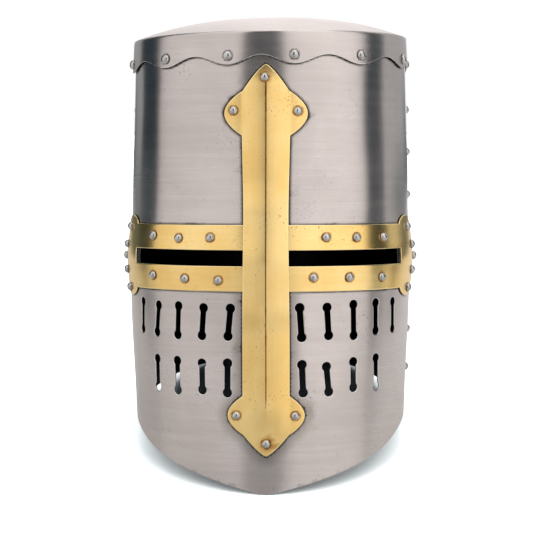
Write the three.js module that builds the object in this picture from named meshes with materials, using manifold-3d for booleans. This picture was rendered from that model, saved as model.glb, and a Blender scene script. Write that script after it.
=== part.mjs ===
// A great helm: steel plates riveted into a flat-topped shell, with a brass cross over the sight slit.
// Millimetres. The plates are worked out upright: height 0 is the middle of the sight slit, the front faces
// -Y, and an angle is measured in degrees round the helm from the front, positive towards +X. The finished
// group then leans back until it rests on the point of its chin and the middle of its back edge.

import * as THREE from "three";
import { mergeVertices } from "three/addons/utils/BufferGeometryUtils.js";
import Module from "manifold-3d";

const wasm = await Module();
wasm.setup();

// Driving dimensions
const STEEL = 1.2; // thickness of the steel sheet
const BRASS = 1.2; // thickness of the brass sheet
const SEAT = 0.3; // gap between two pieces that lie on each other
const LAP = STEEL + SEAT; // how far inside its neighbour a plate lies where it is lapped
const LEAN_DEGREES = 16.9; // how far the helm leans back as it stands

// Outside of the steel at each height: half the width, and how far the front and the back stand from the
// widest line.
const SECTIONS = [
  { height: -190, halfWidth: 110.6, front: 100.6, back: 174 },
  { height: -110, halfWidth: 113.6, front: 102.6, back: 176 },
  { height: -60, halfWidth: 116.0, front: 104.6, back: 177.5 },
  { height: -26, halfWidth: 117.3, front: 105.8, back: 178.5 },
  { height: -9.5, halfWidth: 118.2, front: 106.6, back: 179 },
  { height: 0, halfWidth: 118.5, front: 106.8, back: 179.2 },
  { height: 18, halfWidth: 116.9, front: 105.6, back: 178.2 },
  { height: 36, halfWidth: 115.7, front: 104.6, back: 177.2 },
  { height: 70, halfWidth: 115.0, front: 103.7, back: 176 },
  { height: 110, halfWidth: 113.9, front: 102.8, back: 174.6 },
  { height: 150, halfWidth: 112.8, front: 101.9, back: 173.2 },
  { height: 180, halfWidth: 112.2, front: 101.3, back: 172.2 },
];
const FRONT_SQUARENESS = 2.1; // 2 is an ellipse, more is squarer
const BACK_SQUARENESS = 2.2;

// Lower edge of the face plate, from the chin round to the side. It runs on as a straight slope to the back.
const FACE_EDGE = [
  { angle: 0, height: -187.1 },
  { angle: 12, height: -182.2 },
  { angle: 30, height: -173.2 },
  { angle: 45, height: -164.2 },
  { angle: 60, height: -152.8 },
  { angle: 70, height: -144.2 },
  { angle: 80, height: -137 },
  { angle: 90, height: -133 },
];
const BACK_EDGE_SLOPE = 0.155;

// Crown
const RIM_HEIGHT = 177.5;
const RIM_ROLL = 1.6; // how much higher the rim is at +X than at the front
const RIM_ROUND = 1.6;
const RIM_ROUND_INSIDE = 1.9; // how far the dome's inner face starts inside the skirt
const DOME_RISE = 20;
const DOME_FULLNESS = 2.4;
const DOME_CENTRE_Y = 36;
const SKIRT_DEPTH_AT_RIVETS = 26.4;
const SKIRT_DEPTH_BETWEEN = 19.3;
const SKIRT_FLARE = 0.8; // how far the skirt's lower edge stands out
const CROWN_RIVET_DEPTH = 19.4;
const CROWN_RIVET_ANGLES = [
  -78.5, -46.5, -16.5, 12.2, 42.5, 72.5, 101, 126, 149, 169.5, 188.5, 208, 229.5, 253.5,
];

// Rows and columns of the sheets
const PLATE_STEP = 6.7; // angle between a plate's columns
const ARM_STEP = 6.2;
const CUTTER_STEP = 12;
const CUTTER_NEAR = 40; // a cutter reaches from this distance off the upright axis to the next one
const CUTTER_FAR = 230;
const CUT_MARGIN = 5; // how far a cutter runs past what it cuts off
const MERGE_DISTANCE = 1e-3;
const NORMAL_STEP = 0.5; // degrees round the wall, and millimetres up it
const LOWER_SHARES_START = -60; // below this height the rows of a lower plate follow its edge
const LOWER_BEND = -26; // the wall draws in below the slit's bulge at about this height
const UPPER_BENDS_END = 160; // an upper plate has no row between this height and its upper edge
const FACE_SHARES = [1, 0.65, 0.3];
const NAPE_SHARES = [1, 0.5];
const DOME_RINGS = [1, 0.9, 0.7, 0.4, 0];
const COLUMNS_PER_WAVE = 6;
const BAR_ROWS = [-96, -75, -62, -49, -36, -18, 0, 18, 36, 49, 62, 80];
const BAR_COLUMNS = [-1, -0.5, 0, 0.5, 1]; // shares of half the width
const ARM_ROWS = [-1, -0.6, -0.25, 0, 0.3, 0.65, 1]; // shares of half the height
const FLANK_SHARES = [0, 0.08, 0.3, 0.6, 1];
const LOBE_SHARES = [0.04, 0.15, 0.32, 0.5, 0.68, 0.85, 0.96, 1];
const ARM_LOBE_SHARES = [0.03, 0.15, 0.35, 0.6, 0.8, 0.95, 1];
const ARM_TIP_ANGLES = [83.5, 87, 90.5, 92.6];
const SLOT_TURN = Math.PI / 4; // step round the holes at the ends of a breath
const SLOT_REACH = 8; // how far a slot's cutter reaches to each side of the wall

// Where the plates meet
const FRONT_PLATE_END = 101; // angle of the side edges of the front plates
const BACK_PLATE_START = 93;
const EAR_END = 92.4; // angle of the side edge of the face plate where it runs up under the brow plate
const BROW_FOOT = -7; // lower edge of the upper plates, beside the slit and at the back
const EAR_TOP = 15; // upper edge of the lower plates, beside the slit and at the back
const JOGGLE_TOP = -7.4; // the lower plates step in under the upper ones between these two heights
const JOGGLE_FOOT = -9.5;
const CROWN_CLEARANCE = 0.5;

// Sight slit
const SLIT_TOP = 6.3;
const SLIT_BOTTOM = -6.1;
const SLIT_END = 65.2; // angle

// Breaths: slots with a round hole at each end, most of them a little out of true
const BREATH_WIDTH = 4.9;
const BREATH_HOLE_RADIUS = 3.8;
const BREATHS = [
  { topX: -101.4, footX: -102.5, top: -33.5, bottom: -63.3 },
  { topX: -87.2, footX: -89.2, top: -35.1, bottom: -64.5 },
  { topX: -70.0, footX: -71.2, top: -34.8, bottom: -65.3 },
  { topX: -49.4, footX: -51.2, top: -35.5, bottom: -65.1 },
  { topX: -27.8, footX: -30.1, top: -35.4, bottom: -65.0 },
  { topX: 26.2, footX: 28.0, top: -34.8, bottom: -65.7 },
  { topX: 47.6, footX: 49.3, top: -34.8, bottom: -64.7 },
  { topX: 68.3, footX: 69.1, top: -33.3, bottom: -65.4 },
  { topX: 86.2, footX: 86.8, top: -32.8, bottom: -62.5 },
  { topX: 100.5, footX: 101.3, top: -33.0, bottom: -62.5 },
  { topX: -88.4, footX: -88.7, top: -78.6, bottom: -108.6 },
  { topX: -71.1, footX: -71.3, top: -78.7, bottom: -109.7 },
  { topX: -50.8, footX: -50.9, top: -79.6, bottom: -108.2 },
  { topX: -30.3, footX: -30.8, top: -78.8, bottom: -109.8 },
  { topX: 28.0, footX: 29.2, top: -79.7, bottom: -109.5 },
  { topX: 47.2, footX: 49.4, top: -81.7, bottom: -109.4 },
  { topX: 68.2, footX: 69.0, top: -78.9, bottom: -106.9 },
  { topX: 86.4, footX: 87.5, top: -77.3, bottom: -108.0 },
];

// Brass cross. An end is a pointed tip with rounded flanks, then a round lobe on each side, then the bar.
const UPRIGHT_TOP = { tip: 151, flank: 21, neck: 18.4, lobe: 34.5, reach: 14.2 };
const UPRIGHT_FOOT = { tip: -156, flank: 17, neck: 18, lobe: 31, reach: 12.4 };
const FLANK_FULLNESS = 0.75;
const LOBE_FULLNESS = 0.85;
const BAR_HALF_WIDTHS = [
  { height: -107, half: 18.6 },
  { height: -50, half: 18.5 },
  { height: 0, half: 17.9 },
  { height: 40, half: 17.7 },
  { height: 96, half: 18.9 },
];
const CREASE_RISE = 2.2; // how far the bar's middle stands out along its crease
const CREASE = { foot: -146, full: -114, fullTop: 124, top: 138 };
const OVERPASS = { full: 36, end: 62 }; // heights where the bar clears the arms, and where it is down
const ARM_HALF_WIDTH = 26;
const ARM_START = 7; // angle of the arm's edge under the bar
const ARM_NECK = 65.6; // angle where the lobes begin
const ARM_NOTCH = 80.2; // angle where the lobes end
const ARM_TIP = 93.2;
const ARM_NOTCH_HALF = 24.6;
const ARM_LOBE_REACH = 7.6;
const ARM_LOBE_FULLNESS = 0.55;
const TIP_HALF = 0.4; // half the width of the blunt end of a point

// Rivets
const RIVET_RADIUS = 3.6;
const RIVET_HEIGHT = 3.3;
const CROWN_RIVET_RADIUS = 4;
const RIVET_SIDES = 8;
const RIVET_SHOULDER = { out: 0.72, up: 0.76 }; // shares of the radius and the height
const UPRIGHT_RIVETS = [
  { x: -0.9, height: 140.8 },
  { x: -25.5, height: 115.1 },
  { x: 24.8, height: 114.6 },
  { x: -23.5, height: -123.6 },
  { x: 23, height: -123.8 },
  { x: 0, height: -145.9 },
];
const ARM_RIVETS = [
  { side: "right", angle: -52.2, height: 17 },
  { side: "right", angle: -38.2, height: 15.4 },
  { side: "right", angle: -23.5, height: 16.2 },
  { side: "right", angle: -52, height: -14.8 },
  { side: "right", angle: -35, height: -16.4 },
  { side: "right", angle: -20, height: -17.2 },
  { side: "left", angle: 25.3, height: 16.4 },
  { side: "left", angle: 38.9, height: 16.1 },
  { side: "left", angle: 53, height: 15.8 },
  { side: "left", angle: 19.8, height: -14.8 },
  { side: "left", angle: 35.3, height: -15.2 },
  { side: "left", angle: 51.7, height: -15.9 },
];
const TIP_RIVETS = [
  { angle: 74, height: 23.5 },
  { angle: 80, height: 8.5 },
  { angle: 80, height: -12.5 },
  { angle: 74, height: -26.5 },
  { angle: 87.6, height: -1.5 },
];
const SEAM_RIVET_ANGLES = { right: -99, left: 97 };
const SEAM_RIVET_HEIGHTS = [121, 85.5, 49.5, -64.5, -97];

// Materials
const STEEL_LOOK = { color: 0xb8b0ae, roughness: 0.34, metalness: 1 };
const BRASS_LOOK = { color: 0xe0b659, roughness: 0.32, metalness: 1 };
const RIVET_LOOK = { color: 0xd2cdcb, roughness: 0.2, metalness: 1 };

const { degToRad, clamp, smoothstep } = THREE.MathUtils;

// Value of a table's column at a place along its key column, on a smooth curve through its rows.
function curveThrough(rows, key, column, place) {
  const last = rows.length - 1;
  const at = clamp(place, rows[0][key], rows[last][key]);
  let i = 0;
  while (i < last - 1 && at > rows[i + 1][key]) i += 1;
  const slope = (k) => {
    const low = Math.max(k - 1, 0);
    const high = Math.min(k + 1, last);
    return (rows[high][column] - rows[low][column]) / (rows[high][key] - rows[low][key]);
  };
  const span = rows[i + 1][key] - rows[i][key];
  const t = (at - rows[i][key]) / span;
  const rise = rows[i + 1][column] - rows[i][column];
  const startSlope = slope(i) * span;
  const endSlope = slope(i + 1) * span;
  const cubic = startSlope + endSlope - 2 * rise;
  const square = 3 * rise - 2 * startSlope - endSlope;
  return rows[i][column] + t * (startSlope + t * (square + t * cubic));
}

// Plan section of the steel's outside at a height, grown by an offset.
function planSection(height, offset) {
  return {
    halfWidth: curveThrough(SECTIONS, "height", "halfWidth", height) + offset,
    front: curveThrough(SECTIONS, "height", "front", height) + offset,
    back: curveThrough(SECTIONS, "height", "back", height) + offset,
  };
}

// A point on the wall: one half of a superellipse in front of the widest line, another behind it.
function wallPoint(angle, height, offset) {
  const { halfWidth, front, back } = planSection(height, offset);
  const across = Math.sin(degToRad(angle));
  const ahead = Math.cos(degToRad(angle));
  const depth = ahead > 0 ? front : back;
  const power = ahead > 0 ? FRONT_SQUARENESS : BACK_SQUARENESS;
  const sum = Math.abs(across / halfWidth) ** power + Math.abs(ahead / depth) ** power;
  const radius = sum ** (-1 / power);
  return new THREE.Vector3(radius * across, -radius * ahead, height);
}

// Angle of the front wall's point that lies at a distance x from the middle plane.
function frontAngle(x, height, offset) {
  const { halfWidth, front } = planSection(height, offset);
  const ahead = front * (1 - Math.abs(x / halfWidth) ** FRONT_SQUARENESS) ** (1 / FRONT_SQUARENESS);
  return THREE.MathUtils.radToDeg(Math.atan2(x, ahead));
}

// Outward direction of the wall at a point.
function wallNormal(angle, height, offset) {
  const step = NORMAL_STEP;
  const round = wallPoint(angle + step, height, offset).sub(wallPoint(angle - step, height, offset));
  const up = wallPoint(angle, height + step, offset).sub(wallPoint(angle, height - step, offset));
  return round.cross(up).normalize();
}

const chinFront = planSection(FACE_EDGE[0].height, 0).front;
const FLOOR_SLOPE = Math.tan(degToRad(LEAN_DEGREES));

// Height of the surface that the helm stands on, below a point of the upright helm.
function floorHeight(y) {
  return FACE_EDGE[0].height + (y + chinFront) * FLOOR_SLOPE;
}

// Height of the helm's lower edge. No part of it goes below what the helm stands on.
function lowerEdge(angle, y) {
  const fromFront = Math.abs(angle > 180 ? angle - 360 : angle);
  const side = FACE_EDGE[FACE_EDGE.length - 1];
  const edge =
    fromFront < side.angle
      ? curveThrough(FACE_EDGE, "angle", "height", fromFront)
      : side.height + BACK_EDGE_SLOPE * Math.max(y, 0);
  return Math.max(edge, floorHeight(y));
}

// Numbers from low to high with an even step close to the one asked for.
function steps(low, high, step) {
  const count = Math.max(1, Math.round((high - low) / step));
  return Array.from({ length: count + 1 }, (_, i) => low + ((high - low) * i) / count);
}

// A manifold-3d solid of a triangle mesh, without the triangles that have no width.
function solidOf(positions, index) {
  const geometry = new THREE.BufferGeometry();
  geometry.setAttribute("position", new THREE.Float32BufferAttribute(positions, 3));
  geometry.setIndex(index);
  const merged = mergeVertices(geometry, MERGE_DISTANCE);
  const triVerts = [];
  for (let i = 0; i < merged.index.count; i += 3) {
    const [a, b, c] = merged.index.array.slice(i, i + 3);
    if (a !== b && b !== c && c !== a) triVerts.push(a, b, c);
  }
  const vertProperties = merged.attributes.position.array;
  return new wasm.Manifold(
    new wasm.Mesh({ numProp: 3, vertProperties, triVerts: new Uint32Array(triVerts) }),
  );
}

// The same of a three.js geometry.
function solidOfGeometry(geometry) {
  const plain = geometry.index ? geometry.toNonIndexed() : geometry;
  const positions = Array.from(plain.attributes.position.array);
  return solidOf(positions, Array.from({ length: positions.length / 3 }, (_, i) => i));
}

function geometryOf(solid) {
  const { vertProperties, numProp, triVerts, numVert } = solid.getMesh();
  const positions = new Float32Array(numVert * 3);
  for (let i = 0; i < numVert; i += 1)
    positions.set(vertProperties.subarray(i * numProp, i * numProp + 3), i * 3);
  const geometry = new THREE.BufferGeometry();
  geometry.setAttribute("position", new THREE.BufferAttribute(positions, 3));
  geometry.setIndex(new THREE.BufferAttribute(triVerts, 1));
  return geometry;
}

// A closed sheet of metal, with columns round the helm and rows up it. at(column, row, inner) gives a corner
// of its outer or inner face. A ring's last column joins its first.
function sheet(columns, rows, at, ring = false) {
  const positions = [];
  for (const inner of [false, true])
    for (const column of columns)
      for (const row of rows) positions.push(...at(column, row, inner).toArray());
  const index = [];
  const corner = (face, i, j) => (face * columns.length + (i % columns.length)) * rows.length + j;
  const quad = (a, b, c, d) => index.push(a, b, c, a, c, d);
  const lastRow = rows.length - 1;
  const lastColumn = ring ? columns.length : columns.length - 1;
  for (let i = 0; i < lastColumn; i += 1) {
    for (let j = 0; j < lastRow; j += 1) {
      quad(corner(0, i, j), corner(0, i + 1, j), corner(0, i + 1, j + 1), corner(0, i, j + 1));
      quad(corner(1, i, j), corner(1, i, j + 1), corner(1, i + 1, j + 1), corner(1, i + 1, j));
    }
    quad(corner(0, i, 0), corner(1, i, 0), corner(1, i + 1, 0), corner(0, i + 1, 0));
    quad(corner(0, i, lastRow), corner(0, i + 1, lastRow), corner(1, i + 1, lastRow), corner(1, i, lastRow));
  }
  for (let j = 0; j < lastRow && !ring; j += 1) {
    quad(corner(0, 0, j), corner(0, 0, j + 1), corner(1, 0, j + 1), corner(1, 0, j));
    quad(
      corner(0, lastColumn, j),
      corner(1, lastColumn, j),
      corner(1, lastColumn, j + 1),
      corner(0, lastColumn, j + 1),
    );
  }
  return solidOf(positions, index);
}

// A block that covers a range of angles and heights right through the wall, to cut it away.
function wallCutter(fromAngle, toAngle, low, high) {
  const angles = steps(fromAngle, toAngle, CUTTER_STEP);
  const corner = (angle, radius) =>
    new THREE.Vector2(radius * Math.sin(degToRad(angle)), -radius * Math.cos(degToRad(angle)));
  const outline = [
    ...angles.map((angle) => corner(angle, CUTTER_FAR)),
    ...angles.toReversed().map((angle) => corner(angle, CUTTER_NEAR)),
  ];
  const settings = { depth: high - low, bevelEnabled: false };
  const block = new THREE.ExtrudeGeometry(new THREE.Shape(outline), settings);
  block.translate(0, 0, low);
  return solidOfGeometry(block);
}

// Rim of the crown at an angle: it is a little higher on one side.
function rimHeight(angle) {
  return RIM_HEIGHT + RIM_ROLL * Math.sin(degToRad(angle));
}

// Where an angle lies between two crown rivets: 0 at one and 1 at the next.
function betweenCrownRivets(angle) {
  const first = CROWN_RIVET_ANGLES[0];
  const turned = first + ((((angle - first) % 360) + 360) % 360);
  const stops = [...CROWN_RIVET_ANGLES, first + 360];
  const next = Math.max(1, stops.findIndex((stop) => stop > turned + 1e-6));
  return (turned - stops[next - 1]) / (stops[next] - stops[next - 1]);
}

// Depth of the crown's skirt: a wave whose low points are at the rivets.
function skirtDepth(angle) {
  const wave = (1 - Math.cos(2 * Math.PI * betweenCrownRivets(angle))) / 2;
  return SKIRT_DEPTH_AT_RIVETS + (SKIRT_DEPTH_BETWEEN - SKIRT_DEPTH_AT_RIVETS) * wave;
}

// Offset of the skirt's outside from the wall's, at a depth below the rim.
function skirtOffset(depth) {
  return LAP + (SKIRT_FLARE * depth) / SKIRT_DEPTH_AT_RIVETS;
}

// The crown: a shallow dome whose edge turns down into the wavy skirt.
function crownPlate() {
  const columns = [];
  CROWN_RIVET_ANGLES.forEach((angle, i) => {
    const next = CROWN_RIVET_ANGLES[i + 1] ?? CROWN_RIVET_ANGLES[0] + 360;
    columns.push(...steps(angle, next, (next - angle) / COLUMNS_PER_WAVE).slice(0, -1));
  });
  const rows = [{ skirt: 1 }, { skirt: 0 }, ...DOME_RINGS.map((dome) => ({ dome }))];
  const at = (angle, { skirt, dome }, inner) => {
    const rim = rimHeight(angle);
    const wall = inner ? STEEL : 0;
    if (skirt !== undefined) {
      const depth = RIM_ROUND + skirt * (skirtDepth(angle) - RIM_ROUND);
      const point = wallPoint(angle, rim - depth, skirtOffset(depth) - wall);
      if (inner && skirt === 0) point.z = rim - Math.max(RIM_ROUND, STEEL);
      return point;
    }
    const edge = wallPoint(angle, rim, skirtOffset(0) - (inner ? RIM_ROUND_INSIDE : RIM_ROUND));
    const centre = new THREE.Vector3(0, DOME_CENTRE_Y, RIM_HEIGHT);
    const point = centre.lerp(edge, dome);
    point.z += DOME_RISE * (1 - dome ** DOME_FULLNESS) - wall;
    return point;
  };
  return sheet(columns, rows, at, true);
}

// Upper edge of the upper plates, just under the crown's rim.
function plateTop(angle) {
  return rimHeight(angle) - RIM_ROUND - CROWN_CLEARANCE - STEEL / 2;
}

// An upper plate, with rows at the heights where its outline bends.
function upperPlate(fromAngle, toAngle, offset) {
  const heights = SECTIONS.map(({ height }) => height);
  const bends = heights.filter((height) => height >= 0 && height < UPPER_BENDS_END);
  const rows = [BROW_FOOT, ...bends, "top"];
  const at = (angle, row, inner) =>
    wallPoint(angle, row === "top" ? plateTop(angle) : row, offset - (inner ? STEEL : 0));
  return sheet(steps(fromAngle, toAngle, PLATE_STEP), rows, at);
}

// A lower plate. Above the joggle it steps in by the lap, where the ears beside the slit or the whole upper
// edge lie under the plate above. Its lowest rows are shares of the way down to the lower edge.
function lowerPlate(fromAngle, toAngle, offset, joggleAt, shares) {
  const rows = [
    ...shares.map((share) => ({ share })),
    { height: LOWER_SHARES_START },
    { height: LOWER_BEND },
    { height: JOGGLE_FOOT },
    { height: JOGGLE_TOP },
    { height: EAR_TOP },
  ];
  const at = (angle, { height, share }, inner) => {
    const wall = inner ? STEEL : 0;
    if (share === undefined) {
      const inset = height > JOGGLE_FOOT ? LAP * joggleAt(angle) : 0;
      return wallPoint(angle, height, offset - inset - wall);
    }
    const rough = wallPoint(angle, LOWER_SHARES_START, offset - wall);
    const edge = lowerEdge(angle, wallPoint(angle, lowerEdge(angle, rough.y), offset - wall).y);
    return wallPoint(angle, LOWER_SHARES_START + (edge - LOWER_SHARES_START) * share, offset - wall);
  };
  const angles = new Set(steps(fromAngle, toAngle, PLATE_STEP));
  if (fromAngle < 0) for (const angle of [SLIT_END - 1, SLIT_END]) angles.add(angle).add(-angle);
  return sheet([...angles].sort((a, b) => a - b), rows, at);
}

// A slot with a round hole at each end, turned in the wall until its ends are at their places.
function breathCutter({ topX, footX, top, bottom }) {
  const holeRise = (top - bottom) / 2 - BREATH_HOLE_RADIUS;
  const half = BREATH_WIDTH / 2;
  const open = Math.asin(half / BREATH_HOLE_RADIUS);
  const outline = [];
  for (const end of [1, -1])
    for (const turn of steps(-Math.PI + open, Math.PI - open, SLOT_TURN)) {
      const bearing = turn + (end * Math.PI) / 2;
      outline.push(
        new THREE.Vector2(
          BREATH_HOLE_RADIUS * Math.cos(bearing),
          end * holeRise + BREATH_HOLE_RADIUS * Math.sin(bearing),
        ),
      );
    }
  const depth = 2 * SLOT_REACH;
  const slot = new THREE.ExtrudeGeometry(new THREE.Shape(outline), { depth, bevelEnabled: false });
  slot.translate(0, 0, -SLOT_REACH);
  const middle = (top + bottom) / 2;
  const ends = [topX, footX].map((x) => wallPoint(frontAngle(x, middle, 0), middle, 0));
  const run = Math.sign(footX - topX) * ends[0].distanceTo(ends[1]);
  slot.rotateZ(Math.atan2(run, 2 * holeRise));
  const angle = frontAngle((topX + footX) / 2, middle, 0);
  const out = wallNormal(angle, middle, 0).setZ(0).normalize();
  const up = new THREE.Vector3(0, 0, 1);
  const across = new THREE.Vector3().crossVectors(up, out);
  slot.applyMatrix4(new THREE.Matrix4().makeBasis(across, up, out));
  slot.translate(...wallPoint(angle, middle, 0).toArray());
  return solidOfGeometry(slot);
}

function browPlate() {
  const belowSlit = BROW_FOOT - CUT_MARGIN;
  return upperPlate(-FRONT_PLATE_END, FRONT_PLATE_END, 0).subtract(
    wallCutter(-SLIT_END, SLIT_END, belowSlit, SLIT_TOP),
  );
}

function facePlate() {
  const earJoggle = (angle) => smoothstep(Math.abs(angle), SLIT_END - 1, SLIT_END);
  const aboveEars = EAR_TOP + CUT_MARGIN;
  let plate = lowerPlate(-FRONT_PLATE_END, FRONT_PLATE_END, 0, earJoggle, FACE_SHARES);
  plate = plate.subtract(wallCutter(-SLIT_END, SLIT_END, SLIT_BOTTOM, aboveEars));
  for (const side of [-1, 1]) {
    const ends = [side * EAR_END, side * (FRONT_PLATE_END + CUT_MARGIN)].sort((a, b) => a - b);
    plate = plate.subtract(wallCutter(...ends, JOGGLE_FOOT, aboveEars));
  }
  for (const breath of BREATHS) plate = plate.subtract(breathCutter(breath));
  return plate;
}

// Half the width of the cross's end at a distance from its tip.
function endHalfWidth({ flank, neck, lobe, reach }, distance) {
  if (distance <= flank) return Math.max(TIP_HALF, neck * (distance / flank) ** FLANK_FULLNESS);
  const fromLobe = (2 * (distance - flank)) / lobe - 1;
  return neck + reach * Math.max(0, Math.cos((Math.PI / 2) * fromLobe)) ** LOBE_FULLNESS;
}

function endLength({ flank, lobe }) {
  return flank + lobe;
}

// Half the width of the upright at a height.
function uprightHalfWidth(height) {
  if (height > UPRIGHT_TOP.tip - endLength(UPRIGHT_TOP))
    return endHalfWidth(UPRIGHT_TOP, UPRIGHT_TOP.tip - height);
  if (height < UPRIGHT_FOOT.tip + endLength(UPRIGHT_FOOT))
    return endHalfWidth(UPRIGHT_FOOT, height - UPRIGHT_FOOT.tip);
  return curveThrough(BAR_HALF_WIDTHS, "height", "half", height);
}

// Distances from a tip at which the end's outline is followed.
function endStops({ flank, lobe }) {
  return [...FLANK_SHARES.map((share) => flank * share), ...LOBE_SHARES.map((share) => flank + lobe * share)];
}

// The upright's inner face above the steel: it climbs over the arms, and is folded along its middle.
function uprightOffset(x, height) {
  const over = 1 - smoothstep(Math.abs(height), OVERPASS.full, OVERPASS.end);
  const crease =
    smoothstep(height, CREASE.foot, CREASE.full) * (1 - smoothstep(height, CREASE.fullTop, CREASE.top));
  const fold = Math.max(0, 1 - Math.abs(x) / BAR_HALF_WIDTHS[0].half);
  return SEAT + over * (BRASS + SEAT) + crease * CREASE_RISE * fold;
}

function crossUpright() {
  const heights = [
    ...endStops(UPRIGHT_FOOT).map((distance) => UPRIGHT_FOOT.tip + distance),
    ...BAR_ROWS,
    ...endStops(UPRIGHT_TOP).map((distance) => UPRIGHT_TOP.tip - distance).toReversed(),
  ];
  const at = (share, height, inner) => {
    const x = share * uprightHalfWidth(height);
    const offset = uprightOffset(x, height) + (inner ? 0 : BRASS);
    return wallPoint(frontAngle(x, height, offset), height, offset);
  };
  return sheet(BAR_COLUMNS, heights, at);
}

// Half the height of an arm at an angle from the front.
function armHalfHeight(angle) {
  if (angle <= ARM_NECK) return ARM_HALF_WIDTH;
  if (angle >= ARM_NOTCH) {
    const share = (ARM_TIP - angle) / (ARM_TIP - ARM_NOTCH);
    return Math.max(TIP_HALF, ARM_NOTCH_HALF * Math.max(0, share) ** FLANK_FULLNESS);
  }
  const fromLobe = (2 * (angle - ARM_NECK)) / (ARM_NOTCH - ARM_NECK) - 1;
  const base = THREE.MathUtils.mapLinear(angle, ARM_NECK, ARM_NOTCH, ARM_HALF_WIDTH, ARM_NOTCH_HALF);
  return base + ARM_LOBE_REACH * Math.max(0, Math.cos((Math.PI / 2) * fromLobe)) ** ARM_LOBE_FULLNESS;
}

// An arm of the cross: a band over the wall from under the bar to its point at the side, cut by the slit.
function crossArm(side) {
  const neckToNotch = ARM_NOTCH - ARM_NECK;
  const angles = [
    ...steps(ARM_START, ARM_NECK, ARM_STEP),
    ...ARM_LOBE_SHARES.map((share) => ARM_NECK + neckToNotch * share),
    ...ARM_TIP_ANGLES,
    ARM_TIP,
  ];
  const columns = side > 0 ? angles : angles.map((angle) => -angle).toReversed();
  const at = (angle, share, inner) =>
    wallPoint(angle, share * armHalfHeight(Math.abs(angle)), SEAT + (inner ? 0 : BRASS));
  const slit = [side * SLIT_END, 0].sort((a, b) => a - b);
  return sheet(columns, ARM_ROWS, at).subtract(wallCutter(...slit, SLIT_BOTTOM, SLIT_TOP));
}

// Domed head of a rivet, on the origin and pointing along +Y.
function rivetHead(radius) {
  const profile = [
    new THREE.Vector2(0, 0),
    new THREE.Vector2(radius, 0),
    new THREE.Vector2(radius * RIVET_SHOULDER.out, RIVET_HEIGHT * RIVET_SHOULDER.up),
    new THREE.Vector2(0, RIVET_HEIGHT),
  ];
  return new THREE.LatheGeometry(profile, RIVET_SIDES);
}

const helm = new THREE.Group();

function addMesh(name, geometry, look) {
  const mesh = new THREE.Mesh(geometry, new THREE.MeshStandardMaterial(look));
  mesh.name = name;
  helm.add(mesh);
  return mesh;
}

// A rivet seated on the wall, or on what covers it there by the given offset.
function addRivet(name, angle, height, offset, radius = RIVET_RADIUS) {
  const mesh = addMesh(name, rivetHead(radius), RIVET_LOOK);
  mesh.position.copy(wallPoint(angle, height, offset + SEAT));
  mesh.quaternion.setFromUnitVectors(new THREE.Vector3(0, 1, 0), wallNormal(angle, height, offset));
}

function numbered(base, i) {
  return base + "_" + String(i + 1).padStart(2, "0");
}

addMesh("crown_plate", geometryOf(crownPlate()), STEEL_LOOK);
addMesh("brow_plate", geometryOf(browPlate()), STEEL_LOOK);
addMesh("face_plate", geometryOf(facePlate()), STEEL_LOOK);
addMesh("skull_plate", geometryOf(upperPlate(BACK_PLATE_START, 360 - BACK_PLATE_START, -LAP)), STEEL_LOOK);
addMesh(
  "nape_plate",
  geometryOf(lowerPlate(BACK_PLATE_START, 360 - BACK_PLATE_START, -LAP, () => 1, NAPE_SHARES)),
  STEEL_LOOK,
);
addMesh("cross_upright", geometryOf(crossUpright()), BRASS_LOOK);
addMesh("cross_arm_right", geometryOf(crossArm(-1)), BRASS_LOOK);
addMesh("cross_arm_left", geometryOf(crossArm(1)), BRASS_LOOK);

CROWN_RIVET_ANGLES.forEach((angle, i) => {
  const height = rimHeight(angle) - CROWN_RIVET_DEPTH;
  addRivet(numbered("crown_rivet", i), angle, height, skirtOffset(CROWN_RIVET_DEPTH), CROWN_RIVET_RADIUS);
});
UPRIGHT_RIVETS.forEach(({ x, height }, i) => {
  const offset = uprightOffset(x, height) + BRASS;
  addRivet(numbered("upright_rivet", i), frontAngle(x, height, offset), height, offset);
});
for (const side of ["right", "left"]) {
  const turn = side === "left" ? 1 : -1;
  const seam = SEAM_RIVET_ANGLES[side];
  ARM_RIVETS.filter((rivet) => rivet.side === side).forEach(({ angle, height }, i) =>
    addRivet(numbered("arm_rivet_" + side, i), angle, height, SEAT + BRASS),
  );
  TIP_RIVETS.forEach(({ angle, height }, i) =>
    addRivet(numbered("tip_rivet_" + side, i), turn * angle, height, SEAT + BRASS),
  );
  SEAM_RIVET_HEIGHTS.forEach((height, i) =>
    addRivet(numbered("seam_rivet_" + side, i), seam, height, 0),
  );
}

// The helm leans back, and its box then stands centred on the origin.
helm.rotation.x = -degToRad(LEAN_DEGREES);
helm.updateMatrixWorld(true);
const box = new THREE.Box3().setFromObject(helm, true);
const middle = box.getCenter(new THREE.Vector3());
helm.position.set(-middle.x, -middle.y, -box.min.z);

const part = new THREE.Group();
part.add(helm);

export default part;
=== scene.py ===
"""A great helm of riveted steel plates with a brass cross over the sight slit.

Sizes are in millimetres and angles in degrees. The pieces are worked out upright: height 0 is the middle of
the sight slit, the front faces -Y, and an angle is measured round the helm from the front, positive towards
+X. Wall.stand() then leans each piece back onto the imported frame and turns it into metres.
"""

from __future__ import annotations

import logging
import math
from collections.abc import Callable, Iterable, Mapping
from dataclasses import dataclass, field
from enum import Enum

import bpy
import numpy as np
from mathutils import Matrix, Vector
from mathutils.geometry import delaunay_2d_cdt


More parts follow.
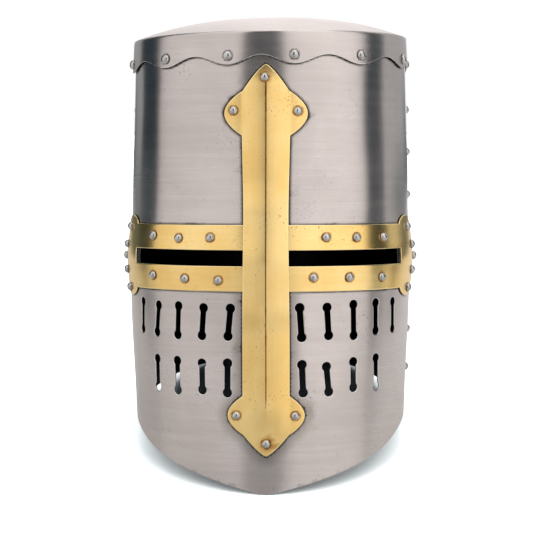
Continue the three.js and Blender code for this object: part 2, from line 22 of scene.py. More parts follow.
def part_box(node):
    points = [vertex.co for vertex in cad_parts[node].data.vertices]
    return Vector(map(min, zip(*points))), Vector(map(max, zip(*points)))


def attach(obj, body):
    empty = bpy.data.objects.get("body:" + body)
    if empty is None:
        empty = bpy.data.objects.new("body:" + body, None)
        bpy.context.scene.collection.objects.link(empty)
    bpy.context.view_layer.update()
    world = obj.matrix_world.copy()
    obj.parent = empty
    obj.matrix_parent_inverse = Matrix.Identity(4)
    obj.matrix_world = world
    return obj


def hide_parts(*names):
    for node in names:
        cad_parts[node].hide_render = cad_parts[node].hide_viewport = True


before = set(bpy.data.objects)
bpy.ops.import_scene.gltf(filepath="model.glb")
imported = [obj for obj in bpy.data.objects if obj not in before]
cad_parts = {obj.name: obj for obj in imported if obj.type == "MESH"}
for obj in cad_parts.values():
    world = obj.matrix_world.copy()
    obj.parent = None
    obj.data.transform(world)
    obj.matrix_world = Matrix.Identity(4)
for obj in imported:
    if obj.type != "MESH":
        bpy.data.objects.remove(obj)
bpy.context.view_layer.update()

LOG = logging.getLogger("helm")
MM = 0.001
FULL_TURN = 360.0
HALF_TURN = 180.0
PAIRS_AT_ONCE = 2_000_000
SHARPEST_CORNER = 0.5
RING_DEPTH = 1.3
RING_WIDTH = 0.9

Array = np.ndarray
Colour = tuple[float, float, float, float]
Pattern = Callable[[Array, Array], Array]
Steps = tuple[float, float, int]
Window = tuple[float, float, float, float]


class Side(Enum):
    """A side of the helm, as the sign of its angles."""

    RIGHT = -1
    LEFT = 1


class Slot(Enum):
    """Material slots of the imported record."""

    STEEL = "steel_plate"
    BRASS = "brass_cross"
    RIVET = "steel_rivet"


# Plain functions of arrays


def smoothstep(value: Array, low: float, high: float) -> Array:
    """Rises from 0 at low to 1 at high: 3t^2 - 2t^3 of the share t of the way.

    Args:
        value: Places along the way.
        low: Where the rise begins.
        high: Where the rise ends.

    Returns:
        The shares, between 0 and 1.
    """
    t = np.clip((np.asarray(value, float) - low) / (high - low), 0.0, 1.0)
    return t * t * (3.0 - 2.0 * t)


def curve_through(keys: Array, values: Array, place: Array) -> Array:
    """Smooth curve through a table: a cubic between two rows, with the slope between a row's neighbours.

    Args:
        keys: The table's key column, rising.
        values: The column to read.
        place: Places along the key column.

    Returns:
        The column's value at each place.
    """
    keys = np.asarray(keys, float)
    values = np.asarray(values, float)
    at = np.clip(place, keys[0], keys[-1])
    low = np.maximum(np.arange(len(keys)) - 1, 0)
    high = np.minimum(np.arange(len(keys)) + 1, len(keys) - 1)
    slopes = (values[high] - values[low]) / (keys[high] - keys[low])
    i = np.clip(np.searchsorted(keys, at, side="right") - 1, 0, len(keys) - 2)
    span = keys[i + 1] - keys[i]
    t = (at - keys[i]) / span
    rise = values[i + 1] - values[i]
    start, end = slopes[i] * span, slopes[i + 1] * span
    return values[i] + t * (start + t * (3 * rise - 2 * start - end + t * (start + end - 2 * rise)))


def resample(loop: Array, spacing: float) -> Array:
    """Splits each segment of a closed loop into equal steps no longer than the spacing.

    Args:
        loop: Corners, shape (n, 2).
        spacing: Longest step.

    Returns:
        The finer loop, shape (m, 2).
    """
    after = np.roll(loop, -1, axis=0)
    lengths = np.linalg.norm(after - loop, axis=1)
    counts = np.maximum(1, np.ceil(lengths / spacing).astype(int))
    owner = np.repeat(np.arange(len(loop)), counts)
    first = np.repeat(np.cumsum(counts) - counts, counts)
    share = (np.arange(len(owner)) - first) / counts[owner]
    return loop[owner] + (after - loop)[owner] * share[:, None]


def inset(loop: Array, distance: float) -> Array:
    """Moves a closed loop to its left, into the metal, by a distance.

    Each corner moves along the mean of its two segments' left normals, over the cosine of half its turn.

    Args:
        loop: Corners, shape (n, 2).
        distance: How far the loop moves.

    Returns:
        The moved loop.
    """
    ahead = np.roll(loop, -1, axis=0) - loop
    ahead /= np.linalg.norm(ahead, axis=1)[:, None]
    left = np.stack([-ahead[:, 1], ahead[:, 0]], axis=1)
    mean = left + np.roll(left, 1, axis=0)
    mean /= np.linalg.norm(mean, axis=1)[:, None]
    cosine = np.maximum((mean * left).sum(axis=1), SHARPEST_CORNER)
    return loop + distance * mean / cosine[:, None]


def inside(points: Array, loops: Iterable[Array]) -> Array:
    """Even-odd test: a point is inside when a ray from it along +u crosses the loops an odd number of times.

    Args:
        points: Places, shape (n, 2).
        loops: Closed loops.

    Returns:
        A mask, shape (n,).
    """
    crossings = np.zeros(len(points), int)
    for loop in loops:
        a, b = loop, np.roll(loop, -1, axis=0)
        near = np.flatnonzero((points[:, 1] >= loop[:, 1].min()) & (points[:, 1] <= loop[:, 1].max()))
        for part in np.array_split(near, max(1, len(near) * len(loop) // PAIRS_AT_ONCE)):
            u, v = points[part, 0][:, None], points[part, 1][:, None]
            spans = (a[:, 1] > v) != (b[:, 1] > v)
            rise = np.where(b[:, 1] == a[:, 1], 1.0, b[:, 1] - a[:, 1])
            cut = a[:, 0] + (v - a[:, 1]) * (b[:, 0] - a[:, 0]) / rise
            crossings[part] += (spans & (u < cut)).sum(axis=1)
    return crossings % 2 == 1


def nearest(points: Array, others: Array) -> Array:
    """Distance from each point to the nearest of the others, by |p - q|^2 = |p|^2 - 2 p.q + |q|^2.

    Args:
        points: Places, shape (n, 2).
        others: Places, shape (m, 2).

    Returns:
        Distances, shape (n,).
    """
    squares = np.square(others).sum(axis=1)
    found = []
    for part in np.array_split(points, max(1, len(points) * len(others) // PAIRS_AT_ONCE)):
        found.append((squares - 2 * part @ others.T).min(axis=1) + np.square(part).sum(axis=1))
    return np.sqrt(np.maximum(np.concatenate(found), 0.0))


def rivet_rings(points: Array, rivets: Array, radius: float) -> Array:
    """Dark ring round each rivet, tarnish with painted contact shade: a Gaussian of the distance from the
    edge of its head.

    Args:
        points: Places in a pattern, shape (n, 2).
        rivets: Places of the rivets, shape (m, 2).
        radius: Radius of the heads.

    Returns:
        The share of tarnish and painted shade at each place.
    """
    return RING_DEPTH * np.exp(-np.square((nearest(points, rivets) - radius) / RING_WIDTH))


# The wall that every piece lies on


@dataclass(frozen=True)
class Wall:
    """Outside of the steel: at each height, half a superellipse in front of the widest line and half behind.

    A point at an angle has the radius (|sin/halfWidth|^p + |cos/depth|^p)^(-1/p), where depth is the
    front's or the back's. A slow wave is the unevenness of sheet that was bent by hand: each row of its
    table is a share of its height, turns round the helm, radians for 100 mm of height, and a phase.
    """

    heights: tuple[float, ...] = (-190, -110, -60, -26, -9.5, 0, 18, 36, 70, 110, 150, 180)
    half_widths: tuple[float, ...] = (
        110.6, 113.6, 116.0, 117.3, 118.2, 118.5, 116.9, 115.7, 115.0, 113.9, 112.8, 112.2,
    )
    fronts: tuple[float, ...] = (
        100.6, 102.6, 104.6, 105.8, 106.6, 106.8, 105.6, 104.6, 103.7, 102.8, 101.9, 101.3,
    )
    backs: tuple[float, ...] = (174, 176, 177.5, 178.5, 179, 179.2, 178.2, 177.2, 176, 174.6, 173.2, 172.2)
    front_power: float = 2.1
    back_power: float = 2.2
    lean_degrees: float = 16.9
    steel: float = 1.2
    brass: float = 1.2
    seat: float = 0.3
    chin_height: float = -187.1
    wave_height: float = 0.14
    waves: tuple[tuple[float, ...], ...] = (
        (1.0, 3, 1.7, 0.4),
        (0.8, 5, -2.9, 2.1),
        (0.5, 8, 4.3, 4.0),
        (0.35, 11, -6.1, 1.0),
    )
    step: float = 0.5

    @property
    def lap(self) -> float:
        """How far inside its neighbour a plate lies where it is lapped."""
        return self.steel + self.seat

    def section(self, height: Array) -> tuple[Array, Array, Array]:
        """Half width, front and back at each height."""
        table = (self.half_widths, self.fronts, self.backs)
        return tuple(curve_through(self.heights, column, height) for column in table)

    def wave(self, angle: Array, height: Array) -> Array:
        """Unevenness of the wall: the sum of four waves round and up the helm, each with whole turns."""
        a = np.radians(angle)
        h = np.asarray(height, float) / 100.0
        rows = (share * np.sin(turns * a + climb * h + phase) for share, turns, climb, phase in self.waves)
        return self.wave_height * sum(rows)

    def point(self, angle: Array, height: Array, offset: Array = 0.0) -> Array:
        """Points on the wall grown by an offset.

        Args:
            angle: Degrees from the front.
            height: Height above the middle of the sight slit.
            offset: How far outside the steel's outside the points lie.

        Returns:
            Points of the upright helm, shape (..., 3).
        """
        angle, height, offset = np.broadcast_arrays(
            np.asarray(angle, float), np.asarray(height, float), np.asarray(offset, float)
        )
        half, front, back = self.section(height)
        offset = offset + self.wave(angle, height)
        across, ahead = np.sin(np.radians(angle)), np.cos(np.radians(angle))
        depth = np.where(ahead > 0, front, back) + offset
        power = np.where(ahead > 0, self.front_power, self.back_power)
        total = np.abs(across / (half + offset)) ** power + np.abs(ahead / depth) ** power
        radius = total ** (-1.0 / power)
        return np.stack([radius * across, -radius * ahead, height], axis=-1)

    def front_angle(self, x: Array, height: Array, offset: Array) -> Array:
        """Angle of the front wall's points at a distance x from the middle plane, in degrees."""
        half, front, _ = self.section(height)
        share = np.abs(np.asarray(x) / (half + offset)) ** self.front_power
        ahead = (front + offset) * (1 - share) ** (1 / self.front_power)
        return np.degrees(np.arctan2(x, ahead))

    def normal(self, angle: float, height: float, offset: float = 0.0) -> Array:
        """Outward direction of the wall: across the steps round it and up it."""
        step = self.step
        around = self.point(angle + step, height, offset) - self.point(angle - step, height, offset)
        up = self.point(angle, height + step, offset) - self.point(angle, height - step, offset)
        out = np.cross(around, up)
        return out / np.linalg.norm(out)

    def stretch(self, angle: float, height: float) -> float:
        """Millimetres along the wall for one degree."""
        ends = self.point(np.array([angle - self.step, angle + self.step]), height)
        return float(np.linalg.norm(ends[1] - ends[0])) / (2 * self.step)

    @property
    def lean(self) -> float:
        """How far the helm leans back, in radians."""
        return math.radians(self.lean_degrees)

    @property
    def chin_front(self) -> float:
        """How far in front of the middle the chin's point is."""
        return float(curve_through(self.heights, self.fronts, self.chin_height))

    def floor_height(self, y: Array) -> Array:
        """Height of the surface that the helm stands on, below a point of the upright helm."""
        return self.chin_height + (np.asarray(y) + self.chin_front) * math.tan(self.lean)

    def stand(self, points: Array) -> Array:
        """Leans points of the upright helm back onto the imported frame.

        The lean is a turn about X, and the shift takes the chin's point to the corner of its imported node.
        What would reach below the surface that the helm stands on is held on it.

        Args:
            points: Points of the upright helm in millimetres.

        Returns:
            Points in metres in the frame.
        """
        cosine, sine = math.cos(self.lean), math.sin(self.lean)
        turn = np.array([[1, 0, 0], [0, cosine, sine], [0, -sine, cosine]])
        chin = turn @ np.array([0.0, -self.chin_front, self.chin_height])
        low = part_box("face_plate")[0]
        shift = np.array([0.0, low.y / MM - chin[1], low.z / MM - chin[2]])
        stood = points @ turn.T + shift
        stood[..., 2] = np.maximum(stood[..., 2], low.z / MM)
        return stood * MM


WALL = Wall()


# Meshes


@dataclass
class MeshData:
    """Points, faces and what each point carries, before they become an object."""

    points: Array
    triangles: Array
    quads: Array
    wrap: Array
    edge: Array
    inner: Array
    stain_and_painted_shade: Array

    def to_object(self, name: str) -> bpy.types.Object:
        """Makes the object: its place is in its mesh, and the object stays at the origin.

        Args:
            name: Name of the object and of its mesh.

        Returns:
            The new object, linked into the scene.
        """
        mesh = bpy.data.meshes.new(name)
        faces = [*self.triangles.tolist(), *self.quads.tolist()]
        mesh.from_pydata(WALL.stand(self.points).tolist(), [], faces)
        mesh.polygons.foreach_set("use_smooth", np.ones(len(mesh.polygons), bool))
        corners = np.empty(len(mesh.loops), np.int32)
        mesh.loops.foreach_get("vertex_index", corners)
        layer = mesh.uv_layers.new(name="wrap")
        layer.uv.foreach_set("vector", (self.wrap[corners] * MM).astype(np.float32).ravel())
        for label, values in (("edge", self.edge), ("stain_and_painted_shade", self.stain_and_painted_shade), ("inner", self.inner)):
            attribute = mesh.attributes.new(label, "FLOAT", "POINT")
            attribute.data.foreach_set("value", values.astype(np.float32))
        mesh.validate()
        mesh.update()
        made = bpy.data.objects.new(name, mesh)
        bpy.context.scene.collection.objects.link(made)
        return made


@dataclass
class Sheet:
    """A closed sheet of metal, cut to loops in a flat pattern and laid on a curved surface.

    The pattern is filled with triangles whose corners are the loops and a staggered grid. Both faces carry
    the same triangles, and rings along each loop join them round a rounded edge. A loop has the metal on
    its left. The grid keeps a clearance, in spacings, from the loops and folds. The inner mask rises over
    the inner span, in shares of the thickness.
    """

    loops: list[Array]
    spacing: float
    thickness: float
    place: Callable[[Array, Array, Array], Array]
    edge_radius: float = 0.3
    support: float = 0.55
    clearance: float = 0.7
    merge: float = 1e-5
    inner_span: tuple[float, float] = (0.2, 0.7)
    folds: list[Array] = field(default_factory=list)

    def fill(self) -> tuple[Array, Array, list[Array]]:
        """Triangles of the flat pattern inside the support loops.

        Returns:
            The pattern's points, its triangles, and the indices of each support loop's points.
        """
        fine = [resample(loop, self.spacing) for loop in self.loops]
        borders = [inset(loop, self.edge_radius + self.support) for loop in fine]
        rim = np.concatenate(borders)
        low, high = rim.min(axis=0), rim.max(axis=0)
        row_step = self.spacing * math.sqrt(3) / 2
        rows = np.arange(low[1], high[1], row_step)
        columns = np.arange(low[0], high[0], self.spacing)
        u, v = np.meshgrid(columns, rows)
        u = u + (np.arange(len(rows)) % 2)[:, None] * self.spacing / 2
        grid = np.stack([u.ravel(), v.ravel()], axis=1)
        grid = grid[inside(grid, borders)]
        fold_points = np.concatenate(self.folds) if self.folds else np.zeros((0, 2))
        grid = grid[nearest(grid, np.concatenate([rim, fold_points])) > self.clearance * self.spacing]
        starts = np.cumsum([0, *map(len, borders)])
        edges = [
            np.stack([np.arange(n), (np.arange(n) + 1) % n], axis=1) + start
            for n, start in zip(map(len, borders), starts)
        ]
        begin = len(rim)
        for line in self.folds:
            run = np.arange(len(line) - 1) + begin
            edges.append(np.stack([run, run + 1], axis=1))
            begin += len(line)
        seeds = np.concatenate([rim, fold_points, grid])
        points, _, faces, origins, _, _ = delaunay_2d_cdt(
            seeds.tolist(), np.concatenate(edges).tolist(), [], 0, self.merge, True
        )
        points = np.array([tuple(p) for p in points])
        triangles = np.array(faces)
        centres = points[triangles].mean(axis=1)
        triangles = triangles[inside(centres, borders)]
        new_index = np.full(len(seeds), -1)
        sizes = [len(o) for o in origins]
        new_index[np.concatenate([np.asarray(o, int) for o in origins if len(o)])] = np.repeat(
            np.arange(len(points)), sizes
        )
        joins = [new_index[start : start + n] for n, start in zip(map(len, borders), starts)]
        return points, triangles, joins

    def build(self, stain_and_painted_shade: Pattern) -> MeshData:
        """Lays the pattern on the surface as a closed sheet.

        Args:
            stain_and_painted_shade: Gives each point's share of tarnish and painted shade from its place in
                the pattern.

        Returns:
            The sheet's mesh.
        """
        flat, triangles, joins = self.fill()
        ab = flat[triangles[:, 1]] - flat[triangles[:, 0]]
        ac = flat[triangles[:, 2]] - flat[triangles[:, 0]]
        turned = ab[:, 0] * ac[:, 1] - ab[:, 1] * ac[:, 0] < 0
        triangles[turned] = triangles[turned][:, ::-1]
        count = len(flat)
        r, t = self.edge_radius, self.thickness
        bend = r * (1 - math.sqrt(0.5))
        rings = [(r, 0.0), (bend, bend), (0.0, r), (0.0, t - r), (bend, t - bend), (r, t)]
        uv = [flat, flat]
        depth = [np.zeros(count), np.full(count, t)]
        edge = [np.zeros(count), np.zeros(count)]
        quads = []
        begin = 2 * count
        for loop, join in zip(self.loops, joins):
            fine = resample(loop, self.spacing)
            n = len(fine)
            chain = [join]
            for step, down in rings:
                uv.append(inset(fine, step))
                depth.append(np.full(n, down))
                edge.append(np.ones(n))
                chain.append(np.arange(n) + begin)
                begin += n
            chain.append(join + count)
            for upper, lower in zip(chain, chain[1:]):
                quads.append(
                    np.stack([upper, lower, np.roll(lower, -1), np.roll(upper, -1)], axis=1)
                )
        wrap = np.concatenate(uv)
        depths = np.concatenate(depth)
        points = self.place(wrap[:, 0], wrap[:, 1], depths)
        faces = np.concatenate([triangles, triangles[:, ::-1] + count])
        inner = smoothstep(depths / t, *self.inner_span)
        # The stain share is real tarnish together with painted shade along joints, round rivets and down the
        # brass fold.
        stains = stain_and_painted_shade(wrap[:, 0], wrap[:, 1]) * (1 - inner)
        return MeshData(points, faces, np.concatenate(quads), wrap, np.concatenate(edge), inner, stains)


def finish_piece(piece: bpy.types.Object, slot: Slot, material: bpy.types.Material, *nodes: str) -> None:
    """Dresses a piece, lets it ride on the body and hides the nodes that it stands for."""
    piece.data.materials.append(material)
    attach(piece, "root")
    if nodes:
        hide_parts(*nodes)
    LOG.info("%s: %d faces", piece.name, len(piece.data.polygons))


# Finishes


class Graph:
    """Adds nodes to a node tree."""

    def __init__(self, tree: bpy.types.NodeTree) -> None:
        """Keeps the tree."""
        self.tree = tree

    def add(
        self, kind: str, inputs: Mapping[str | int, object] | None = None, **settings: object
    ) -> bpy.types.Node:
        """Adds a node.

        Args:
            kind: The node's type.
            inputs: What each input takes: a socket, or a plain value.
            settings: The node's own properties.

        Returns:
            The node.
        """
        node = self.tree.nodes.new(kind)
        for name, value in settings.items():
            setattr(node, name, value)
        for key, value in (inputs or {}).items():
            if isinstance(value, bpy.types.NodeSocket):
                self.tree.links.new(value, node.inputs[key])
            else:
                node.inputs[key].default_value = value
        return node

    def math(self, operation: str, *values: object) -> bpy.types.NodeSocket:
        """Output of a Math node."""
        return self.add("ShaderNodeMath", dict(enumerate(values)), operation=operation).outputs[0]

    def scaled(self, vector: object, scale: tuple[float, float, float]) -> bpy.types.NodeSocket:
        """A vector times another."""
        node = self.add("ShaderNodeVectorMath", {0: vector, 1: scale}, operation="MULTIPLY")
        return node.outputs[0]

    def noise(
        self, vector: object, scale: float, detail: float = 3.0, roughness: float = 0.55
    ) -> bpy.types.NodeSocket:
        """Value of a noise texture."""
        inputs = {"Vector": vector, "Scale": scale, "Detail": detail, "Roughness": roughness}
        return self.add("ShaderNodeTexNoise", inputs).outputs["Fac"]

    def span(
        self, value: object, low: float, high: float, to_low: float = 0.0, to_high: float = 1.0
    ) -> bpy.types.NodeSocket:
        """A value's place between two limits, eased, and spread over another range."""
        inputs = {0: value, 1: low, 2: high, 3: to_low, 4: to_high}
        return self.add("ShaderNodeMapRange", inputs, interpolation_type="SMOOTHSTEP").outputs[0]

    def window(self, value: object, window: Window) -> bpy.types.NodeSocket:
        """Mask that rises between a window's first two limits and falls between its last two."""
        rise = self.span(value, window[0], window[1])
        return self.math("MULTIPLY", rise, self.span(value, window[2], window[3], 1.0, 0.0))

    def mix(self, factor: object, a: object, b: object) -> bpy.types.NodeSocket:
        """Mix of two colours."""
        return self.add("ShaderNodeMix", {0: factor, 6: a, 7: b}, data_type="RGBA").outputs[2]

    def group(self, tree: bpy.types.NodeTree, inputs: Mapping[str, object]) -> bpy.types.Node:
        """A node that stands for a node group."""
        return self.add("ShaderNodeGroup", inputs, node_tree=tree)


class Effects:
    """Effects that several finishes share, each a node group that is built once."""

    def __init__(self) -> None:
        """Builds the groups."""
        self.brushing = self._brushing()
        self.clouds = self._clouds()
        self.wear = self._wear()
        self.specks = self._specks()

    @staticmethod
    def _tree(
        name: str, inputs: Mapping[str, tuple[str, object]], outputs: Iterable[str]
    ) -> tuple[bpy.types.NodeTree, Graph, bpy.types.Node, bpy.types.Node]:
        """An empty group with its sockets."""
        tree = bpy.data.node_groups.new(name, "ShaderNodeTree")
        for label, (kind, default) in inputs.items():
            socket = tree.interface.new_socket(label, in_out="INPUT", socket_type=kind)
            if default is not None:
                socket.default_value = default
        for label in outputs:
            tree.interface.new_socket(label, in_out="OUTPUT", socket_type="NodeSocketFloat")
        graph = Graph(tree)
        return tree, graph, graph.add("NodeGroupInput"), graph.add("NodeGroupOutput")

    def _brushing(self) -> bpy.types.NodeTree:
        """Fine lines along the pattern's u, from two noises that are stretched along it."""
        sockets = {
            "Wrap": ("NodeSocketVector", None),
            "Lines": ("NodeSocketFloat", 900.0),
            "Run": ("NodeSocketFloat", 14.0),
        }
        tree, g, source, out = self._tree("brushing", sockets, ("Lines", "Bands"))
        spread = g.add("ShaderNodeSeparateXYZ", {0: source.outputs["Wrap"]})
        along = g.math("MULTIPLY", spread.outputs[0], source.outputs["Run"])
        across = g.math("MULTIPLY", spread.outputs[1], source.outputs["Lines"])
        fine = g.add("ShaderNodeCombineXYZ", {0: along, 1: across})
        tree.links.new(g.noise(fine.outputs[0], scale=1.0, detail=4.0, roughness=0.7), out.inputs["Lines"])
        coarse = g.scaled(fine.outputs[0], scale=(0.45, 0.13, 1.0))
        tree.links.new(g.noise(coarse, scale=1.0, detail=3.0, roughness=0.6), out.inputs["Bands"])
        return tree

    def _clouds(self) -> bpy.types.NodeTree:
        """Soft cloudiness: a wide noise bent by a wider one."""
        sockets = {"Place": ("NodeSocketVector", None), "Scale": ("NodeSocketFloat", 14.0)}
        tree, g, source, out = self._tree("clouds", sockets, ("Cloud", "Smudge"))
        wide = g.add("ShaderNodeTexNoise", {"Vector": source.outputs["Place"], "Scale": 9.0, "Detail": 2.0})
        bent = g.add(
            "ShaderNodeVectorMath",
            {0: wide.outputs["Color"], 1: (0.05, 0.05, 0.05), 2: source.outputs["Place"]},
            operation="MULTIPLY_ADD",
        )
        soft = g.add(
            "ShaderNodeTexNoise",
            {"Vector": bent.outputs[0], "Scale": source.outputs["Scale"], "Detail": 4.0, "Roughness": 0.5},
        )
        tree.links.new(g.span(soft.outputs["Fac"], low=0.3, high=0.7), out.inputs["Cloud"])
        raised = g.scaled(bent.outputs[0], scale=(1.0, 1.0, 2.2))
        smudge = g.noise(raised, scale=46.0, detail=5.0, roughness=0.6)
        tree.links.new(g.span(smudge, low=0.5, high=0.78), out.inputs["Smudge"])
        return tree

    def _wear(self) -> bpy.types.NodeTree:
        """Bright worn edges: the edge mask, broken up by a noise."""
        sockets = {
            "Edge": ("NodeSocketFloat", 0.0),
            "Place": ("NodeSocketVector", None),
            "Scale": ("NodeSocketFloat", 220.0),
        }
        tree, g, source, out = self._tree("edge_wear", sockets, ("Wear",))
        rough = g.add(
            "ShaderNodeTexNoise",
            {"Vector": source.outputs["Place"], "Scale": source.outputs["Scale"], "Detail": 3.0},
        )
        broken = g.math("ADD", source.outputs["Edge"], g.math("SUBTRACT", rough.outputs["Fac"], 0.5))
        tree.links.new(g.span(broken, low=0.35, high=0.95), out.inputs["Wear"])
        return tree

    def _specks(self) -> bpy.types.NodeTree:
        """Small dark pits and marks: the few high tops of a fine noise, in patches."""
        sockets = {"Place": ("NodeSocketVector", None), "Amount": ("NodeSocketFloat", 0.5)}
        tree, g, source, out = self._tree("specks", sockets, ("Speck",))
        fine = g.noise(source.outputs["Place"], scale=620.0, detail=2.0)
        patch = g.noise(source.outputs["Place"], scale=28.0, detail=2.0)
        both = g.math("ADD", fine, g.math("MULTIPLY", patch, 0.35))
        tops = g.span(both, low=0.86, high=0.93)
        tree.links.new(g.math("MULTIPLY", tops, source.outputs["Amount"]), out.inputs["Speck"])
        return tree


@dataclass(frozen=True)
class MetalFinish:
    """A metal's look: its tones, how it was brushed, its clouds, worn edges, specks, tarnish and painted
    shade.
    """

    name: str
    tone: Colour
    pale: Colour
    worn: Colour
    speck: Colour
    tarnish: Colour
    deep_tarnish_and_painted_shade: Colour
    inside: Colour
    roughness: float
    roughness_spread: float
    anisotropy: float
    lines: float
    run: float
    line_height: float
    cloud_scale: float
    speck_amount: float
    bands_share: float = 0.35
    lines_share: float = 0.35
    cloud_share: float = 0.3
    shade_span: tuple[float, float] = (0.25, 0.8)
    smudge_middle: float = 0.35
    smudge_share: float = 0.45
    halo_span: tuple[float, float] = (0.18, 0.85)
    halo_stain: tuple[float, float] = (0.02, 0.2)
    deep_span: tuple[float, float] = (0.75, 1.1)
    deep_stain: tuple[float, float] = (0.3, 0.6)
    worn_share: float = 0.6
    worn_roughness: float = -0.05
    halo_roughness: float = 0.1
    inside_roughness: float = 0.25
    speck_depth: float = 0.4

    def material(self, effects: Effects) -> bpy.types.Material:
        """Builds the material.

        Args:
            effects: The shared node groups.

        Returns:
            The material.
        """
        made = bpy.data.materials.new(self.name)
        made.use_nodes = True
        made.node_tree.nodes.clear()
        g = Graph(made.node_tree)
        wrap = g.add("ShaderNodeUVMap", uv_map="wrap").outputs["UV"]
        space = g.add("ShaderNodeTexCoord").outputs["Object"]
        turn = (-WALL.lean, 0.0, 0.0)
        place = g.add("ShaderNodeMapping", {"Vector": space, "Rotation": turn}).outputs[0]
        edge = g.add("ShaderNodeAttribute", attribute_name="edge").outputs["Fac"]
        # The stain attribute carries tarnish together with painted shade and a painted dark reflection.
        stain_and_painted_shade = g.add("ShaderNodeAttribute", attribute_name="stain_and_painted_shade").outputs["Fac"]
        inner = g.add("ShaderNodeAttribute", attribute_name="inner").outputs["Fac"]
        brush = g.group(effects.brushing, {"Wrap": wrap, "Lines": self.lines, "Run": self.run})
        cloud = g.group(effects.clouds, {"Place": place, "Scale": self.cloud_scale})
        wear = g.group(effects.wear, {"Edge": edge, "Place": place}).outputs["Wear"]
        speck = g.group(effects.specks, {"Place": place, "Amount": self.speck_amount}).outputs["Speck"]
        bands = g.math("MULTIPLY", brush.outputs["Bands"], self.bands_share)
        lines = g.math("MULTIPLY_ADD", brush.outputs["Lines"], self.lines_share, bands)
        shade = g.math("MULTIPLY_ADD", cloud.outputs["Cloud"], self.cloud_share, lines)
        colour = g.mix(g.span(shade, *self.shade_span), self.tone, self.pale)
        smudge = g.math("SUBTRACT", cloud.outputs["Smudge"], self.smudge_middle)
        ragged = g.math("MULTIPLY_ADD", smudge, self.smudge_share, stain_and_painted_shade)
        halo = g.math("MULTIPLY", g.span(ragged, *self.halo_span), g.span(stain_and_painted_shade, *self.halo_stain))
        # Where the stain runs high it turns near black: some tarnish, but mostly painted shade along joints,
        # rings at rivets and a painted reflection on the brass fold.
        darkest_stain_and_shade = g.math("MULTIPLY", g.span(ragged, *self.deep_span), g.span(stain_and_painted_shade, *self.deep_stain))
        colour = g.mix(halo, colour, self.tarnish)
        colour = g.mix(darkest_stain_and_shade, colour, self.deep_tarnish_and_painted_shade)
        colour = g.mix(speck, colour, self.speck)
        clean = g.math("MULTIPLY_ADD", darkest_stain_and_shade, -self.worn_share, self.worn_share)
        colour = g.mix(g.math("MULTIPLY", wear, clean), colour, self.worn)
        colour = g.mix(inner, colour, self.inside)
        spread = g.math("SUBTRACT", shade, 0.5)
        rough = g.math("MULTIPLY_ADD", spread, self.roughness_spread, self.roughness)
        rough = g.math("MULTIPLY_ADD", halo, self.halo_roughness, rough)
        rough = g.math("MULTIPLY_ADD", wear, self.worn_roughness, rough)
        rough = g.math("MULTIPLY_ADD", inner, self.inside_roughness, rough)
        height = g.math("MULTIPLY_ADD", speck, -self.speck_depth, brush.outputs["Lines"])
        bump = g.add("ShaderNodeBump", {"Height": height, "Distance": self.line_height * MM})
        along = g.add("ShaderNodeTangent", direction_type="UV_MAP", uv_map="wrap").outputs[0]
        shader = g.add(
            "ShaderNodeBsdfPrincipled",
            {
                "Base Color": colour,
                "Metallic": 1.0,
                "Roughness": rough,
                "Anisotropic": self.anisotropy,
                "Anisotropic Rotation": 0.25,
                "Tangent": along,
                "Normal": bump.outputs[0],
            },
        )
        g.add("ShaderNodeOutputMaterial", {"Surface": shader.outputs[0]})
        return made


STEEL = MetalFinish(
    name="satin_steel",
    tone=(0.53, 0.475, 0.45, 1),
    pale=(0.66, 0.595, 0.57, 1),
    worn=(0.8, 0.78, 0.77, 1),
    speck=(0.12, 0.12, 0.13, 1),
    tarnish=(0.33, 0.29, 0.26, 1),
    deep_tarnish_and_painted_shade=(0.06, 0.056, 0.052, 1),
    inside=(0.035, 0.033, 0.032, 1),
    roughness=0.26,
    roughness_spread=0.1,
    anisotropy=0.85,
    lines=1500.0,
    run=16.0,
    line_height=0.009,
    cloud_scale=13.0,
    speck_amount=0.5,
)
BRASS = MetalFinish(
    name="brushed_brass",
    tone=(0.9, 0.59, 0.2, 1),
    pale=(1.0, 0.745, 0.33, 1),
    worn=(1.0, 0.86, 0.5, 1),
    speck=(0.3, 0.16, 0.06, 1),
    tarnish=(0.62, 0.32, 0.09, 1),
    deep_tarnish_and_painted_shade=(0.1, 0.055, 0.03, 1),
    inside=(0.1, 0.06, 0.025, 1),
    roughness=0.23,
    roughness_spread=0.12,
    anisotropy=0.25,
    lines=1300.0,
    run=18.0,
    line_height=0.014,
    cloud_scale=22.0,
    speck_amount=0.7,
)
RIVET = MetalFinish(
    name="polished_steel",
    tone=(0.38, 0.37, 0.36, 1),
    pale=(0.6, 0.585, 0.575, 1),
    worn=(0.86, 0.85, 0.84, 1),
    speck=(0.12, 0.11, 0.1, 1),
    tarnish=(0.22, 0.18, 0.14, 1),
    deep_tarnish_and_painted_shade=(0.07, 0.055, 0.045, 1),
    inside=(0.05, 0.046, 0.043, 1),
    roughness=0.14,
    roughness_spread=0.1,
    anisotropy=0.0,
    lines=420.0,
    run=420.0,
    line_height=0.006,
    cloud_scale=160.0,
    speck_amount=0.5,
)


# Sub-assemblies


